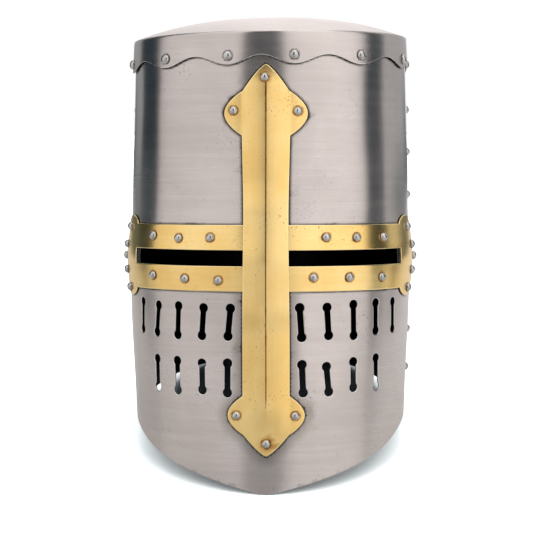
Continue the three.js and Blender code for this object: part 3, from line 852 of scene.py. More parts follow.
@dataclass
class Crown:
    """The crown plate: a shallow dome, a rounded rim, and a skirt whose lower edge is a wave.

    Round the helm every line is a closed loop. Going in from the skirt's edge, a loop is the wall at a depth
    below the rim, then a quarter circle over the rim, then a share of the way from the dome's centre to the
    rim, raised by rise * (1 - share^fullness). The inner face is the same, one thickness further in. Each
    row of loops has a first share, a last share and a count.
    """

    rivet_angles: tuple[float, ...] = (
        -78.5, -46.5, -16.5, 12.2, 42.5, 72.5, 101, 126, 149, 169.5, 188.5, 208, 229.5, 253.5,
    )
    rim_height: float = 177.5
    rim_roll: float = 1.6
    rim_round: float = 1.6
    dome_rise: float = 20.0
    dome_fullness: float = 2.4
    dome_centre: float = 36.0
    depth_at_rivets: float = 26.4
    depth_between: float = 19.3
    flare: float = 0.8
    rivet_depth: float = 19.4
    rivet_radius: float = 4.0
    edge_radius: float = 0.35
    edge_support: float = 0.6
    stretch: float = 1.95
    columns: int = 560
    skirt_rows: Steps = (0.94, 0.0, 14)
    rim_turns: tuple[float, ...] = (18, 36, 54, 72, 90)
    rim_wear: float = 0.35
    dome_rows: tuple[Steps, ...] = ((0.985, 0.8, 12), (0.775, 0.03, 26))
    inner_dome_rows: tuple[Steps, ...] = ((0.03, 0.8, 20), (0.83, 0.99, 8))
    inner_skirt_rows: Steps = (0.02, 0.95, 10)
    line_start: float = -110.0
    line_overlap: float = 10.0
    line_step: float = 0.4

    def rim(self, angle: Array) -> Array:
        """Height of the rim: a little higher on one side."""
        return self.rim_height + self.rim_roll * np.sin(np.radians(angle))

    def skirt_depth(self, angle: Array) -> Array:
        """Depth of the skirt: a cosine wave whose low points are at the rivets."""
        first = self.rivet_angles[0]
        stops = np.array([*self.rivet_angles, first + FULL_TURN])
        turned = first + np.mod(np.asarray(angle, float) - first, FULL_TURN)
        i = np.clip(np.searchsorted(stops, turned, side="right") - 1, 0, len(stops) - 2)
        share = (turned - stops[i]) / (stops[i + 1] - stops[i])
        wave = (1 - np.cos(2 * math.pi * share)) / 2
        return self.depth_at_rivets + (self.depth_between - self.depth_at_rivets) * wave

    def skirt_offset(self, depth: Array) -> Array:
        """How far outside the wall the skirt's outside is."""
        return WALL.lap + self.flare * depth / self.depth_at_rivets

    def loops(self, angle: Array) -> tuple[list[Array], Array]:
        """Loops of points from the outer lower edge up over the dome, and back to the inner lower edge.

        Args:
            angle: Angles of a loop's points.

        Returns:
            The loops, each of shape (n, 3), and for each its edge mask and inner mask.
        """
        rim, deepest = self.rim(angle), self.skirt_depth(angle)
        steel, r, e = WALL.steel, self.rim_round, self.edge_radius
        made: list[Array] = []
        marks: list[tuple[float, float]] = []

        def skirt(share: float, inner: float, tuck: float, edge: float) -> None:
            """A loop of the skirt: a share of the way down it, pulled up a little by tuck."""
            depth = r + share * (deepest - tuck - r)
            made.append(WALL.point(angle, rim - depth, self.skirt_offset(depth) - inner))
            marks.append((edge, inner / steel))

        def dome(share: float, drop: float) -> None:
            """A loop of the dome's outer or inner face."""
            start = WALL.point(angle, rim, self.skirt_offset(0.0) - r)
            centre = np.array([0.0, self.dome_centre, self.rim_height])
            loop = centre + (start - centre) * share
            loop[:, 2] += self.dome_rise * (1 - share**self.dome_fullness) - drop
            made.append(loop)
            marks.append((0.0, drop / steel))

        bend = e * (1 - math.sqrt(0.5))
        skirt(1.0, e, 0.0, 1.0)
        skirt(1.0, bend, bend, 1.0)
        skirt(1.0, 0.0, e, 1.0)
        skirt(1.0, 0.0, e + self.edge_support, 0.0)
        for share in np.linspace(*self.skirt_rows):
            skirt(float(share), 0.0, e, 0.0)
        for turn in np.radians(self.rim_turns):
            offset = self.skirt_offset(0.0) - r * (1 - math.cos(turn))
            made.append(WALL.point(angle, rim - r * (1 - math.sin(turn)), offset))
            marks.append((self.rim_wear, 0.0))
        for rows, drop in ((self.dome_rows, 0.0), (self.inner_dome_rows, steel)):
            for share in np.concatenate([np.linspace(*row) for row in rows]):
                dome(float(share), drop)
        for share in np.linspace(*self.inner_skirt_rows):
            skirt(float(share), steel, e, 0.0)
        skirt(1.0, steel, e, 1.0)
        skirt(1.0, steel - bend, bend, 1.0)
        skirt(1.0, steel - e, 0.0, 1.0)
        return made, np.array(marks)

    def build(self) -> MeshData:
        """Joins the loops into a closed shell, with a point at each side of the dome's centre.

        Returns:
            The crown's mesh.
        """
        n = self.columns
        angle = np.arange(n) * FULL_TURN / n
        loops, marks = self.loops(angle)
        points = np.concatenate(loops)
        edge, inner = np.repeat(marks, n, axis=0).T
        heights = np.array([loop[:, 2].mean() for loop in loops])
        top = int(np.argmax(heights))
        i = np.arange(n)
        after = np.roll(i, -1)
        quads = []
        for k in range(len(loops)):
            if k == top:
                continue
            lower, upper = k * n, ((k + 1) % len(loops)) * n
            quads.append(np.stack([lower + i, lower + after, upper + after, upper + i], axis=1))
        outer = np.array([0.0, self.dome_centre, self.rim_height + self.dome_rise])
        poles = np.stack([outer, outer - [0.0, 0.0, WALL.steel]])
        first = len(points)
        fans = [
            np.stack([top * n + i, top * n + after, np.full(n, first)], axis=1),
            np.stack([(top + 1) * n + after, (top + 1) * n + i, np.full(n, first + 1)], axis=1),
        ]
        points = np.concatenate([points, poles])
        edge = np.concatenate([edge, [0.0, 0.0]])
        inner = np.concatenate([inner, [0.0, 1.0]])
        on_skirt = points[:, 2] < self.rim_height - self.rim_round / 2
        bearing = np.degrees(np.arctan2(points[:, 0], -points[:, 1]))
        pattern = np.stack([bearing * self.stretch, points[:, 2]], axis=1)
        wrap = np.where(on_skirt[:, None], pattern, points[:, :2])
        # Rings round the skirt's rivets: tarnish with painted contact shade.
        stain_and_painted_shade = on_skirt * (1 - inner) * rivet_rings(pattern, self.rivet_places(), self.rivet_radius)
        return MeshData(points, np.concatenate(fans), np.concatenate(quads), wrap, edge, inner, stain_and_painted_shade)

    def skirt_line(self) -> Array:
        """Points along the skirt's lower edge, as angle and height."""
        end = self.line_start + FULL_TURN + self.line_overlap
        angle = np.arange(self.line_start, end, self.line_step)
        return np.stack([angle, self.rim(angle) - self.skirt_depth(angle)], axis=1)

    def rivet_places(self) -> Array:
        """Places of the rivets in the skirt's pattern."""
        angles = np.array(self.rivet_angles)
        turned = np.where(angles > HALF_TURN, angles - FULL_TURN, angles)
        return np.stack([turned * self.stretch, self.rim(angles) - self.rivet_depth], axis=1)

    def make(self, steel: bpy.types.Material) -> None:
        """Builds and dresses the crown."""
        finish_piece(self.build().to_object("crown"), Slot.STEEL, steel, "crown_plate")


@dataclass(frozen=True)
class Marks:
    """Where the plates are darkened: painted shade along lines, darker steel beside the bar, and tarnish with
    painted shade round rivets.

    Rows are angle and height.
    """

    lines: Array
    bar: Array
    rivets: Array


@dataclass
class Plates:
    """The four wall plates: brow and face in front, skull and nape behind.

    Each is a sheet in a pattern of angle times a fixed stretch against height. The lower plates step in under
    the upper ones by the lap, over two millimetres just below the seam.
    """

    crown: Crown
    front_end: float = 101.0
    back_start: float = 93.0
    ear_end: float = 92.4
    brow_foot: float = -7.0
    ear_top: float = 15.0
    joggle_top: float = -7.4
    joggle_foot: float = -9.5
    crown_clearance: float = 0.5
    slit_top: float = 6.3
    slit_bottom: float = -6.1
    slit_end: float = 65.2
    edge_angles: tuple[float, ...] = (0, 12, 30, 45, 60, 70, 80, 90)
    edge_heights: tuple[float, ...] = (-187.1, -182.2, -173.2, -164.2, -152.8, -144.2, -137, -133)
    back_slope: float = 0.155
    breath_width: float = 4.9
    breath_hole: float = 3.8
    breaths: tuple[tuple[float, float, float, float], ...] = (
        (-101.4, -102.5, -33.5, -63.3),
        (-87.2, -89.2, -35.1, -64.5),
        (-70.0, -71.2, -34.8, -65.3),
        (-49.4, -51.2, -35.5, -65.1),
        (-27.8, -30.1, -35.4, -65.0),
        (26.2, 28.0, -34.8, -65.7),
        (47.6, 49.3, -34.8, -64.7),
        (68.3, 69.1, -33.3, -65.4),
        (86.2, 86.8, -32.8, -62.5),
        (100.5, 101.3, -33.0, -62.5),
        (-88.4, -88.7, -78.6, -108.6),
        (-71.1, -71.3, -78.7, -109.7),
        (-50.8, -50.9, -79.6, -108.2),
        (-30.3, -30.8, -78.8, -109.8),
        (28.0, 29.2, -79.7, -109.5),
        (47.2, 49.4, -81.7, -109.4),
        (68.2, 69.0, -78.9, -106.9),
        (86.4, 87.5, -77.3, -108.0),
    )
    front_stretch: float = 1.95
    back_stretch: float = 2.6
    spacing: float = 2.0
    rivet_radius: float = 3.6
    # Depth and width of the painted shade along the joints.
    joint_shade: float = 1.4
    joint_shade_width: float = 1.45
    bar_spread: float = 1.6
    bar_darkening: float = 0.78
    bar_darkening_width: float = 13.0
    bar_darkening_above: float = 0.5
    bar_darkening_change: float = 12.0
    slit_reach: float = 9.0
    line_low: float = -190.0
    line_high: float = 180.0
    line_step: float = 1.0
    seam_step: float = 0.5
    edge_guess: float = -110.0
    hole_points: int = 19
    top_points: int = 90
    face_points: int = 180
    nape_points: int = 200

    def top(self, angle: Array) -> Array:
        """Upper edge of the upper plates, just under the crown's rim."""
        return self.crown.rim(angle) - self.crown.rim_round - self.crown_clearance - WALL.steel / 2

    def lower_edge(self, angle: Array, y: Array) -> Array:
        """Height of the helm's lower edge, never below what the helm stands on."""
        from_front = np.abs(np.where(angle > HALF_TURN, angle - FULL_TURN, angle))
        front = curve_through(self.edge_angles, self.edge_heights, from_front)
        behind = self.edge_heights[-1] + self.back_slope * np.maximum(y, 0)
        edge = np.where(from_front < self.edge_angles[-1], front, behind)
        return np.maximum(edge, WALL.floor_height(y))

    def edge_at(self, angle: Array, offset: float) -> Array:
        """Lower edge at an angle, found twice because the wall draws in as it goes down."""
        rough = WALL.point(angle, self.edge_guess, offset)
        once = self.lower_edge(angle, rough[..., 1])
        return self.lower_edge(angle, WALL.point(angle, once, offset)[..., 1])

    def joggle(self, height: Array) -> Array:
        """Share of the lap by which a lower plate steps in: none below the joggle and all above it."""
        return np.clip((height - self.joggle_foot) / (self.joggle_top - self.joggle_foot), 0.0, 1.0)

    def lap_lines(self) -> Array:
        """Points along the edges of the plates that lie on top, as angle and height."""
        up = np.arange(self.line_low, self.line_high, self.line_step)
        round_side = np.arange(self.slit_end, FULL_TURN - self.slit_end, self.seam_step)
        return np.concatenate(
            [
                np.stack([np.full(len(up), self.front_end), up], axis=1),
                np.stack([np.full(len(up), FULL_TURN - self.front_end), up], axis=1),
                np.stack([np.full(len(up), -self.front_end), up], axis=1),
                np.stack([round_side, np.full(len(round_side), self.brow_foot)], axis=1),
                np.stack([-round_side, np.full(len(round_side), self.brow_foot)], axis=1),
            ]
        )

    def sheet(
        self, loops: list[Array], stretch: float, offset: Pattern, marks: Marks
    ) -> MeshData:
        """A sheet of steel cut to loops of angle and height.

        Args:
            loops: Loops whose first column is an angle.
            stretch: Millimetres of the pattern for one degree.
            offset: The outer face's offset from the wall, from angle and height.
            marks: Where painted shade and tarnish go.

        Returns:
            The sheet's mesh.
        """

        def place(u: Array, v: Array, depth: Array) -> Array:
            """The wall at the offset, less the depth into the sheet."""
            angle = u / stretch
            return WALL.point(angle, v, offset(angle, v) - depth)

        def stain_and_painted_shade(u: Array, v: Array) -> Array:
            """Painted shade along lines and at the slit's ends, darker steel by the bar, and rings of tarnish
            with painted shade at rivets.
            """
            here = np.stack([u, v], axis=1)
            bar = nearest(here, marks.bar * [stretch, 1.0])
            line = np.minimum(bar / self.bar_spread, nearest(here, marks.lines * [stretch, 1.0]))
            end = np.where(np.abs(v) < self.slit_reach, np.abs(u) - self.slit_end * stretch, np.inf)
            line = np.minimum(line, np.abs(end))
            rings = rivet_rings(here, marks.rivets * [stretch, 1.0], self.rivet_radius)
            # Darker steel beside the bar, weaker above the slit.
            low = 1 - self.bar_darkening_above * smoothstep(v, -self.bar_darkening_change, self.bar_darkening_change)
            bar_darkening = self.bar_darkening * low * np.exp(-np.square(bar / self.bar_darkening_width))
            # Painted shade: dark lines along the lapped edges, the skirt's edge, the cross's outline and the
            # slit's ends, where the gaps lie in shadow.
            joint_shade = self.joint_shade * np.exp(-np.square(line / self.joint_shade_width))
            return np.maximum(bar_darkening, np.maximum(joint_shade, rings))

        scaled = [loop * [stretch, 1.0] for loop in loops]
        return Sheet(scaled, self.spacing, WALL.steel, place).build(stain_and_painted_shade)

    def upper(self, start: float, end: float, *, slit: bool) -> list[Array]:
        """Outline of an upper plate, anticlockwise, with or without the sight slit's notch."""
        foot = [(start, self.brow_foot)]
        if slit:
            a = self.slit_end
            foot += [(-a, self.brow_foot), (-a, self.slit_top), (a, self.slit_top), (a, self.brow_foot)]
        foot.append((end, self.brow_foot))
        around = np.linspace(end, start, self.top_points)
        return [np.concatenate([foot, np.stack([around, self.top(around)], axis=1)])]

    def breath(self, top_x: float, foot_x: float, top: float, bottom: float) -> Array:
        """Outline of a breath, clockwise: straight flanks between two round holes.

        The outline is drawn upright, turned until its holes are at their places, and laid on the wall.

        Args:
            top_x: Place of the upper hole across the helm.
            foot_x: Place of the lower hole.
            top: Height of the upper hole's top.
            bottom: Height of the lower hole's bottom.

        Returns:
            The outline in angle and height.
        """
        rise = (top - bottom) / 2 - self.breath_hole
        opening = math.asin(self.breath_width / 2 / self.breath_hole)
        turns = np.linspace(-math.pi + opening, math.pi - opening, self.hole_points)
        middle = (top + bottom) / 2
        first, last = WALL.front_angle(np.array([top_x, foot_x]), middle, 0.0)
        angle = float(WALL.front_angle((top_x + foot_x) / 2, middle, 0.0))
        per_degree = WALL.stretch(angle, middle)
        tilt = math.atan2((last - first) * per_degree, 2 * rise)
        bearings = np.concatenate([turns + math.pi / 2, turns - math.pi / 2])
        ends = np.repeat([rise, -rise], len(turns))
        across = self.breath_hole * np.cos(bearings)
        up = self.breath_hole * np.sin(bearings) + ends
        turned = across * math.cos(tilt) - up * math.sin(tilt)
        raised = across * math.sin(tilt) + up * math.cos(tilt)
        return np.stack([turned / per_degree + angle, raised + middle], axis=1)[::-1]

    def brow(self, marks: Marks) -> MeshData:
        """The upper front, from the crown to the seam beside the slit."""
        loops = self.upper(-self.front_end, self.front_end, slit=True)
        return self.sheet(loops, self.front_stretch, lambda _, height: np.zeros_like(height), marks)

    def skull(self, marks: Marks) -> MeshData:
        """The upper back, lying inside the brow's side edges."""
        loops = self.upper(self.back_start, FULL_TURN - self.back_start, slit=False)
        return self.sheet(
            loops, self.back_stretch, lambda _, height: np.full_like(height, -WALL.lap), marks
        )

    def face(self, marks: Marks) -> MeshData:
        """The lower front with its breaths, and an ear on each side that runs up under the brow."""
        around = np.linspace(-self.front_end, self.front_end, self.face_points)
        foot = np.stack([around, self.edge_at(around, 0.0)], axis=1)
        a, e, end = self.slit_end, self.ear_end, self.front_end
        upper = [
            (end, self.joggle_foot),
            (e, self.joggle_foot),
            (e, self.ear_top),
            (a, self.ear_top),
            (a, self.slit_bottom),
            (-a, self.slit_bottom),
            (-a, self.ear_top),
            (-e, self.ear_top),
            (-e, self.joggle_foot),
            (-end, self.joggle_foot),
        ]
        outline = np.concatenate([foot, upper])
        holes = [self.breath(*row) for row in self.breaths]

        def offset(angle: Array, height: Array) -> Array:
            """The joggle, only at the ears."""
            beside = smoothstep(np.abs(angle), self.slit_end - 1, self.slit_end)
            return -WALL.lap * self.joggle(height) * beside

        return self.sheet([outline, *holes], self.front_stretch, offset, marks)

    def nape(self, marks: Marks) -> MeshData:
        """The lower back, down to the edge that the helm rests on."""
        around = np.linspace(self.back_start, FULL_TURN - self.back_start, self.nape_points)
        foot = np.stack([around, self.edge_at(around, -WALL.lap)], axis=1)
        upper = [(FULL_TURN - self.back_start, self.ear_top), (self.back_start, self.ear_top)]
        return self.sheet(
            [np.concatenate([foot, upper])],
            self.back_stretch,
            lambda _, height: -WALL.lap * (1 + self.joggle(height)),
            marks,
        )

    def make(self, steel: bpy.types.Material, marks: Marks) -> None:
        """Builds and dresses the plates."""
        for name, build in (
            ("brow", self.brow),
            ("face", self.face),
            ("skull", self.skull),
            ("nape", self.nape),
        ):
            finish_piece(build(marks).to_object(name), Slot.STEEL, steel, name + "_plate")


@dataclass(frozen=True)
class CrossEnd:
    """An end of the upright: a pointed tip with rounded flanks, then a round lobe on each side."""

    tip: float
    flank: float
    neck: float
    lobe: float
    reach: float
    flank_fullness: float = 0.75
    lobe_fullness: float = 0.85

    def half_width(self, distance: Array) -> Array:
        """Half the width at a distance from the tip.

        On the flank it is neck * (share of the flank)^fullness, and on the lobe neck + reach * cos^fullness.
        """
        share = np.clip(distance / self.flank, 0, 1)
        along = np.clip(2 * (distance - self.flank) / self.lobe - 1, -1, 1)
        swell = np.maximum(0, np.cos(math.pi / 2 * along)) ** self.lobe_fullness
        return np.where(
            distance <= self.flank, self.neck * share**self.flank_fullness, self.neck + self.reach * swell
        )

    @property
    def length(self) -> float:
        """How far the end runs in from its tip."""
        return self.flank + self.lobe


@dataclass
class Cross:
    """The brass cross: an upright with a fold down its middle, and an arm on each side cut by the slit."""

    plates: Plates
    upright_top: CrossEnd = CrossEnd(151, 21, 18.4, 34.5, 14.2)
    upright_foot: CrossEnd = CrossEnd(-156, 17, 18, 31, 12.4)
    bar_heights: tuple[float, ...] = (-107, -50, 0, 40, 96)
    bar_halves: tuple[float, ...] = (18.6, 18.5, 17.9, 17.7, 18.9)
    crease_rise: float = 2.2
    crease_foot: tuple[float, float] = (-146, -114)
    crease_top: tuple[float, float] = (134, 151)
    crease_round: float = 0.35
    overpass: tuple[float, float] = (36, 62)
    arm_half: float = 26.0
    arm_start: float = 7.0
    arm_neck: float = 65.6
    arm_notch: float = 80.2
    arm_tip: float = 93.2
    notch_half: float = 24.6
    lobe_reach: float = 7.6
    lobe_fullness: float = 0.55
    stretch: float = 1.95
    spacing: float = 1.3
    rivet_radius: float = 3.6
    fold_lines: tuple[float, ...] = (-1.0, -0.45, 0.0, 0.45, 1.0)
    fold_margin: float = 4.0
    fold_painted_reflection: float = 1.4
    fold_painted_reflection_width: float = 0.6
    fold_painted_reflection_foot: tuple[float, float] = (-122.0, -108.0)
    fold_painted_reflection_left: float = 0.35
    halo: float = 0.6
    halo_width: float = 6.4
    tip_halo: float = 0.38
    tip_halo_width: float = 20.0
    curve_first: float = 0.004
    arm_curve_last: float = 0.99
    curve_power: float = 1.4
    end_points: int = 64
    bar_steps: int = 80
    bar_gap: float = 0.1
    arm_steps: tuple[int, int, int] = (40, 44, 40)
    arm_gap: float = 0.05
    mark_step: float = 1.0

    def half_width(self, height: Array) -> Array:
        """Half the width of the upright at a height."""
        bar = curve_through(self.bar_heights, self.bar_halves, height)
        top = self.upright_top.half_width(self.upright_top.tip - height)
        foot = self.upright_foot.half_width(height - self.upright_foot.tip)
        in_top = height > self.upright_top.tip - self.upright_top.length
        in_foot = height < self.upright_foot.tip + self.upright_foot.length
        return np.where(in_top, top, np.where(in_foot, foot, bar))

    def upright_offset(self, x: Array, height: Array) -> Array:
        """The upright's inner face above the steel: over the arms, and raised along the fold."""
        over = 1 - smoothstep(np.abs(height), *self.overpass)
        away = np.sqrt(np.square(x) + self.crease_round**2) - self.crease_round
        fold = np.maximum(0, 1 - away / self.bar_halves[0])
        rise = self.crease(height) * self.crease_rise * fold
        return WALL.seat + over * (WALL.brass + WALL.seat) + rise

    def stain_and_painted_shade(self, spots: list[tuple[float, float]], tips: list[tuple[float, float]]) -> Pattern:
        """Tarnish round the rivets and towards the tips, falling off with distance, and a ring of tarnish
        with painted shade at each head.

        Args:
            spots: Places of rivets in the pattern.
            tips: Places of the tips in the pattern.

        Returns:
            A function of the pattern's place.
        """

        def at(u: Array, v: Array) -> Array:
            """Share of tarnish: Gaussians round each rivet and each tip, and a ring of tarnish with painted
            shade at each head.
            """
            place = np.stack([u, v], axis=1)
            rivet = nearest(place, np.array(spots)) / self.halo_width
            tip = nearest(place, np.array(tips)) / self.tip_halo_width
            halo = self.halo * np.exp(-np.square(rivet)) + self.tip_halo * np.exp(-np.square(tip))
            return np.maximum(halo, rivet_rings(place, np.array(spots), self.rivet_radius))

        return at

    def bar_points(self) -> Array:
        """Points along the outline of the upright, as angle and height."""
        upright = resample(self.upright_outline(), self.mark_step)
        angle = WALL.front_angle(upright[:, 0], upright[:, 1], 0.0)
        return np.stack([angle, upright[:, 1]], axis=1)

    def arm_points(self) -> Array:
        """Points along the outlines of the arms, as angle and height."""
        scale = [self.stretch, 1.0]
        scaled = [resample(self.arm_outline(side) * scale, self.mark_step) for side in Side]
        return np.concatenate(scaled) / scale

    def curve(self, last: float, count: int) -> Array:
        """Shares of an end's length that crowd towards its tip: even steps, raised to a power."""
        return np.linspace(self.curve_first, last, count) ** self.curve_power

    def upright_outline(self) -> Array:
        """Outline of the upright, anticlockwise, as x and height."""
        top, foot = self.upright_top, self.upright_foot
        low, high = foot.tip + foot.length + self.bar_gap, top.tip - top.length - self.bar_gap
        shares = self.curve(1.0, self.end_points)
        lower, upper = foot.tip + foot.length * shares, top.tip - top.length * shares
        bar = np.linspace(low, high, self.bar_steps)
        heights = np.unique(np.concatenate([lower, bar, upper]))
        right = np.stack([self.half_width(heights), heights], axis=1)
        left = right[::-1] * [-1, 1]
        return np.concatenate([[[0.0, foot.tip]], right, [[0.0, top.tip]], left])

    def crease(self, height: Array) -> Array:
        """How fully the upright is folded at a height."""
        return smoothstep(height, *self.crease_foot) * (1 - smoothstep(height, *self.crease_top))

    def upright(self, rivets: list[tuple[float, float]]) -> MeshData:
        """The upright, in a pattern of x against height."""
        top, foot = self.upright_top, self.upright_foot
        run = np.arange(foot.tip + self.fold_margin, top.tip - self.fold_margin, self.spacing)
        folds = [np.stack([np.full(len(run), x), run], axis=1) for x in self.fold_lines]
        tarnish = self.stain_and_painted_shade(rivets, [(0, foot.tip), (0, top.tip)])

        def stain_and_painted_shade(u: Array, v: Array) -> Array:
            """The tarnish, and a painted dark reflection along the fold."""
            # Painted reflection: a dark line down the fold's ridge, where the ridge mirrors the dark room in
            # front, weaker below its foot.
            rise = (1 - self.fold_painted_reflection_left) * smoothstep(v, *self.fold_painted_reflection_foot)
            depth = self.fold_painted_reflection * self.crease(v) * (self.fold_painted_reflection_left + rise)
            return np.maximum(tarnish(u, v), depth * np.exp(-np.square(u / self.fold_painted_reflection_width)))

        def place(u: Array, v: Array, depth: Array) -> Array:
            """The wall at the upright's offset, less the depth into the sheet."""
            offset = self.upright_offset(u, v) + WALL.brass - depth
            return WALL.point(WALL.front_angle(u, v, offset), v, offset)

        sheet = Sheet([self.upright_outline()], self.spacing, WALL.brass, place, folds=folds)
        made = sheet.build(stain_and_painted_shade)
        made.wrap = made.wrap[:, ::-1].copy()
        return made

    def arm_half_height(self, angle: Array) -> Array:
        """Half the height of an arm at an angle from the front."""
        share = np.clip((self.arm_tip - angle) / (self.arm_tip - self.arm_notch), 0, 1)
        tip = self.notch_half * share**self.upright_top.flank_fullness
        part = np.clip((angle - self.arm_neck) / (self.arm_notch - self.arm_neck), 0, 1)
        base = self.arm_half + (self.notch_half - self.arm_half) * part
        swell = np.maximum(0, np.cos(math.pi / 2 * (2 * part - 1))) ** self.lobe_fullness
        lobe = base + self.lobe_reach * swell
        return np.where(angle >= self.arm_notch, tip, np.where(angle <= self.arm_neck, self.arm_half, lobe))

    def arm_outline(self, side: Side) -> Array:
        """Outline of an arm, anticlockwise, as angle and height."""
        band, lobe, flank = self.arm_steps
        shares = self.curve(self.arm_curve_last, flank)[::-1]
        angles = np.concatenate(
            [
                np.linspace(self.arm_start, self.arm_neck, band),
                np.linspace(self.arm_neck + self.arm_gap, self.arm_notch, lobe),
                self.arm_tip - (self.arm_tip - self.arm_notch) * shares,
            ]
        )
        half = self.arm_half_height(angles)
        p = self.plates
        slit = [
            (self.arm_start, p.slit_top),
            (p.slit_end, p.slit_top),
            (p.slit_end, p.slit_bottom),
            (self.arm_start, p.slit_bottom),
        ]
        lower = np.stack([angles, -half], axis=1)
        upper = np.stack([angles, half], axis=1)[::-1]
        outline = np.concatenate([lower, [[self.arm_tip, 0.0]], upper, slit])
        return (outline * [-1, 1])[::-1] if side is Side.RIGHT else outline

    def arm(self, side: Side, rivets: list[tuple[float, float]]) -> MeshData:
        """An arm: two bands round the slit, joined beyond it, with two lobes and a point."""

        def place(u: Array, v: Array, depth: Array) -> Array:
            """The wall just outside the steel, less the depth into the sheet."""
            return WALL.point(u / self.stretch, v, WALL.seat + WALL.brass - depth)

        outline = self.arm_outline(side) * [self.stretch, 1.0]
        sheet = Sheet([outline], self.spacing, WALL.brass, place)
        spots = [(angle * self.stretch, height) for angle, height in rivets]
        return sheet.build(self.stain_and_painted_shade(spots, [(side.value * self.arm_tip * self.stretch, 0)]))

    def make(self, brass: bpy.types.Material, rivets: Rivets) -> None:
        """Builds and dresses the cross."""
        made = self.upright([(x, height) for x, height in rivets.upright])
        finish_piece(made.to_object("cross_upright_sheet"), Slot.BRASS, brass, "cross_upright")
        for side in Side:
            name = side.name.lower()
            spots = rivets.arm[side] + [(side.value * angle, height) for angle, height in rivets.tips]
            sheet = self.arm(side, spots).to_object(f"cross_arm_{name}_sheet")
            finish_piece(sheet, Slot.BRASS, brass, f"cross_arm_{name}")


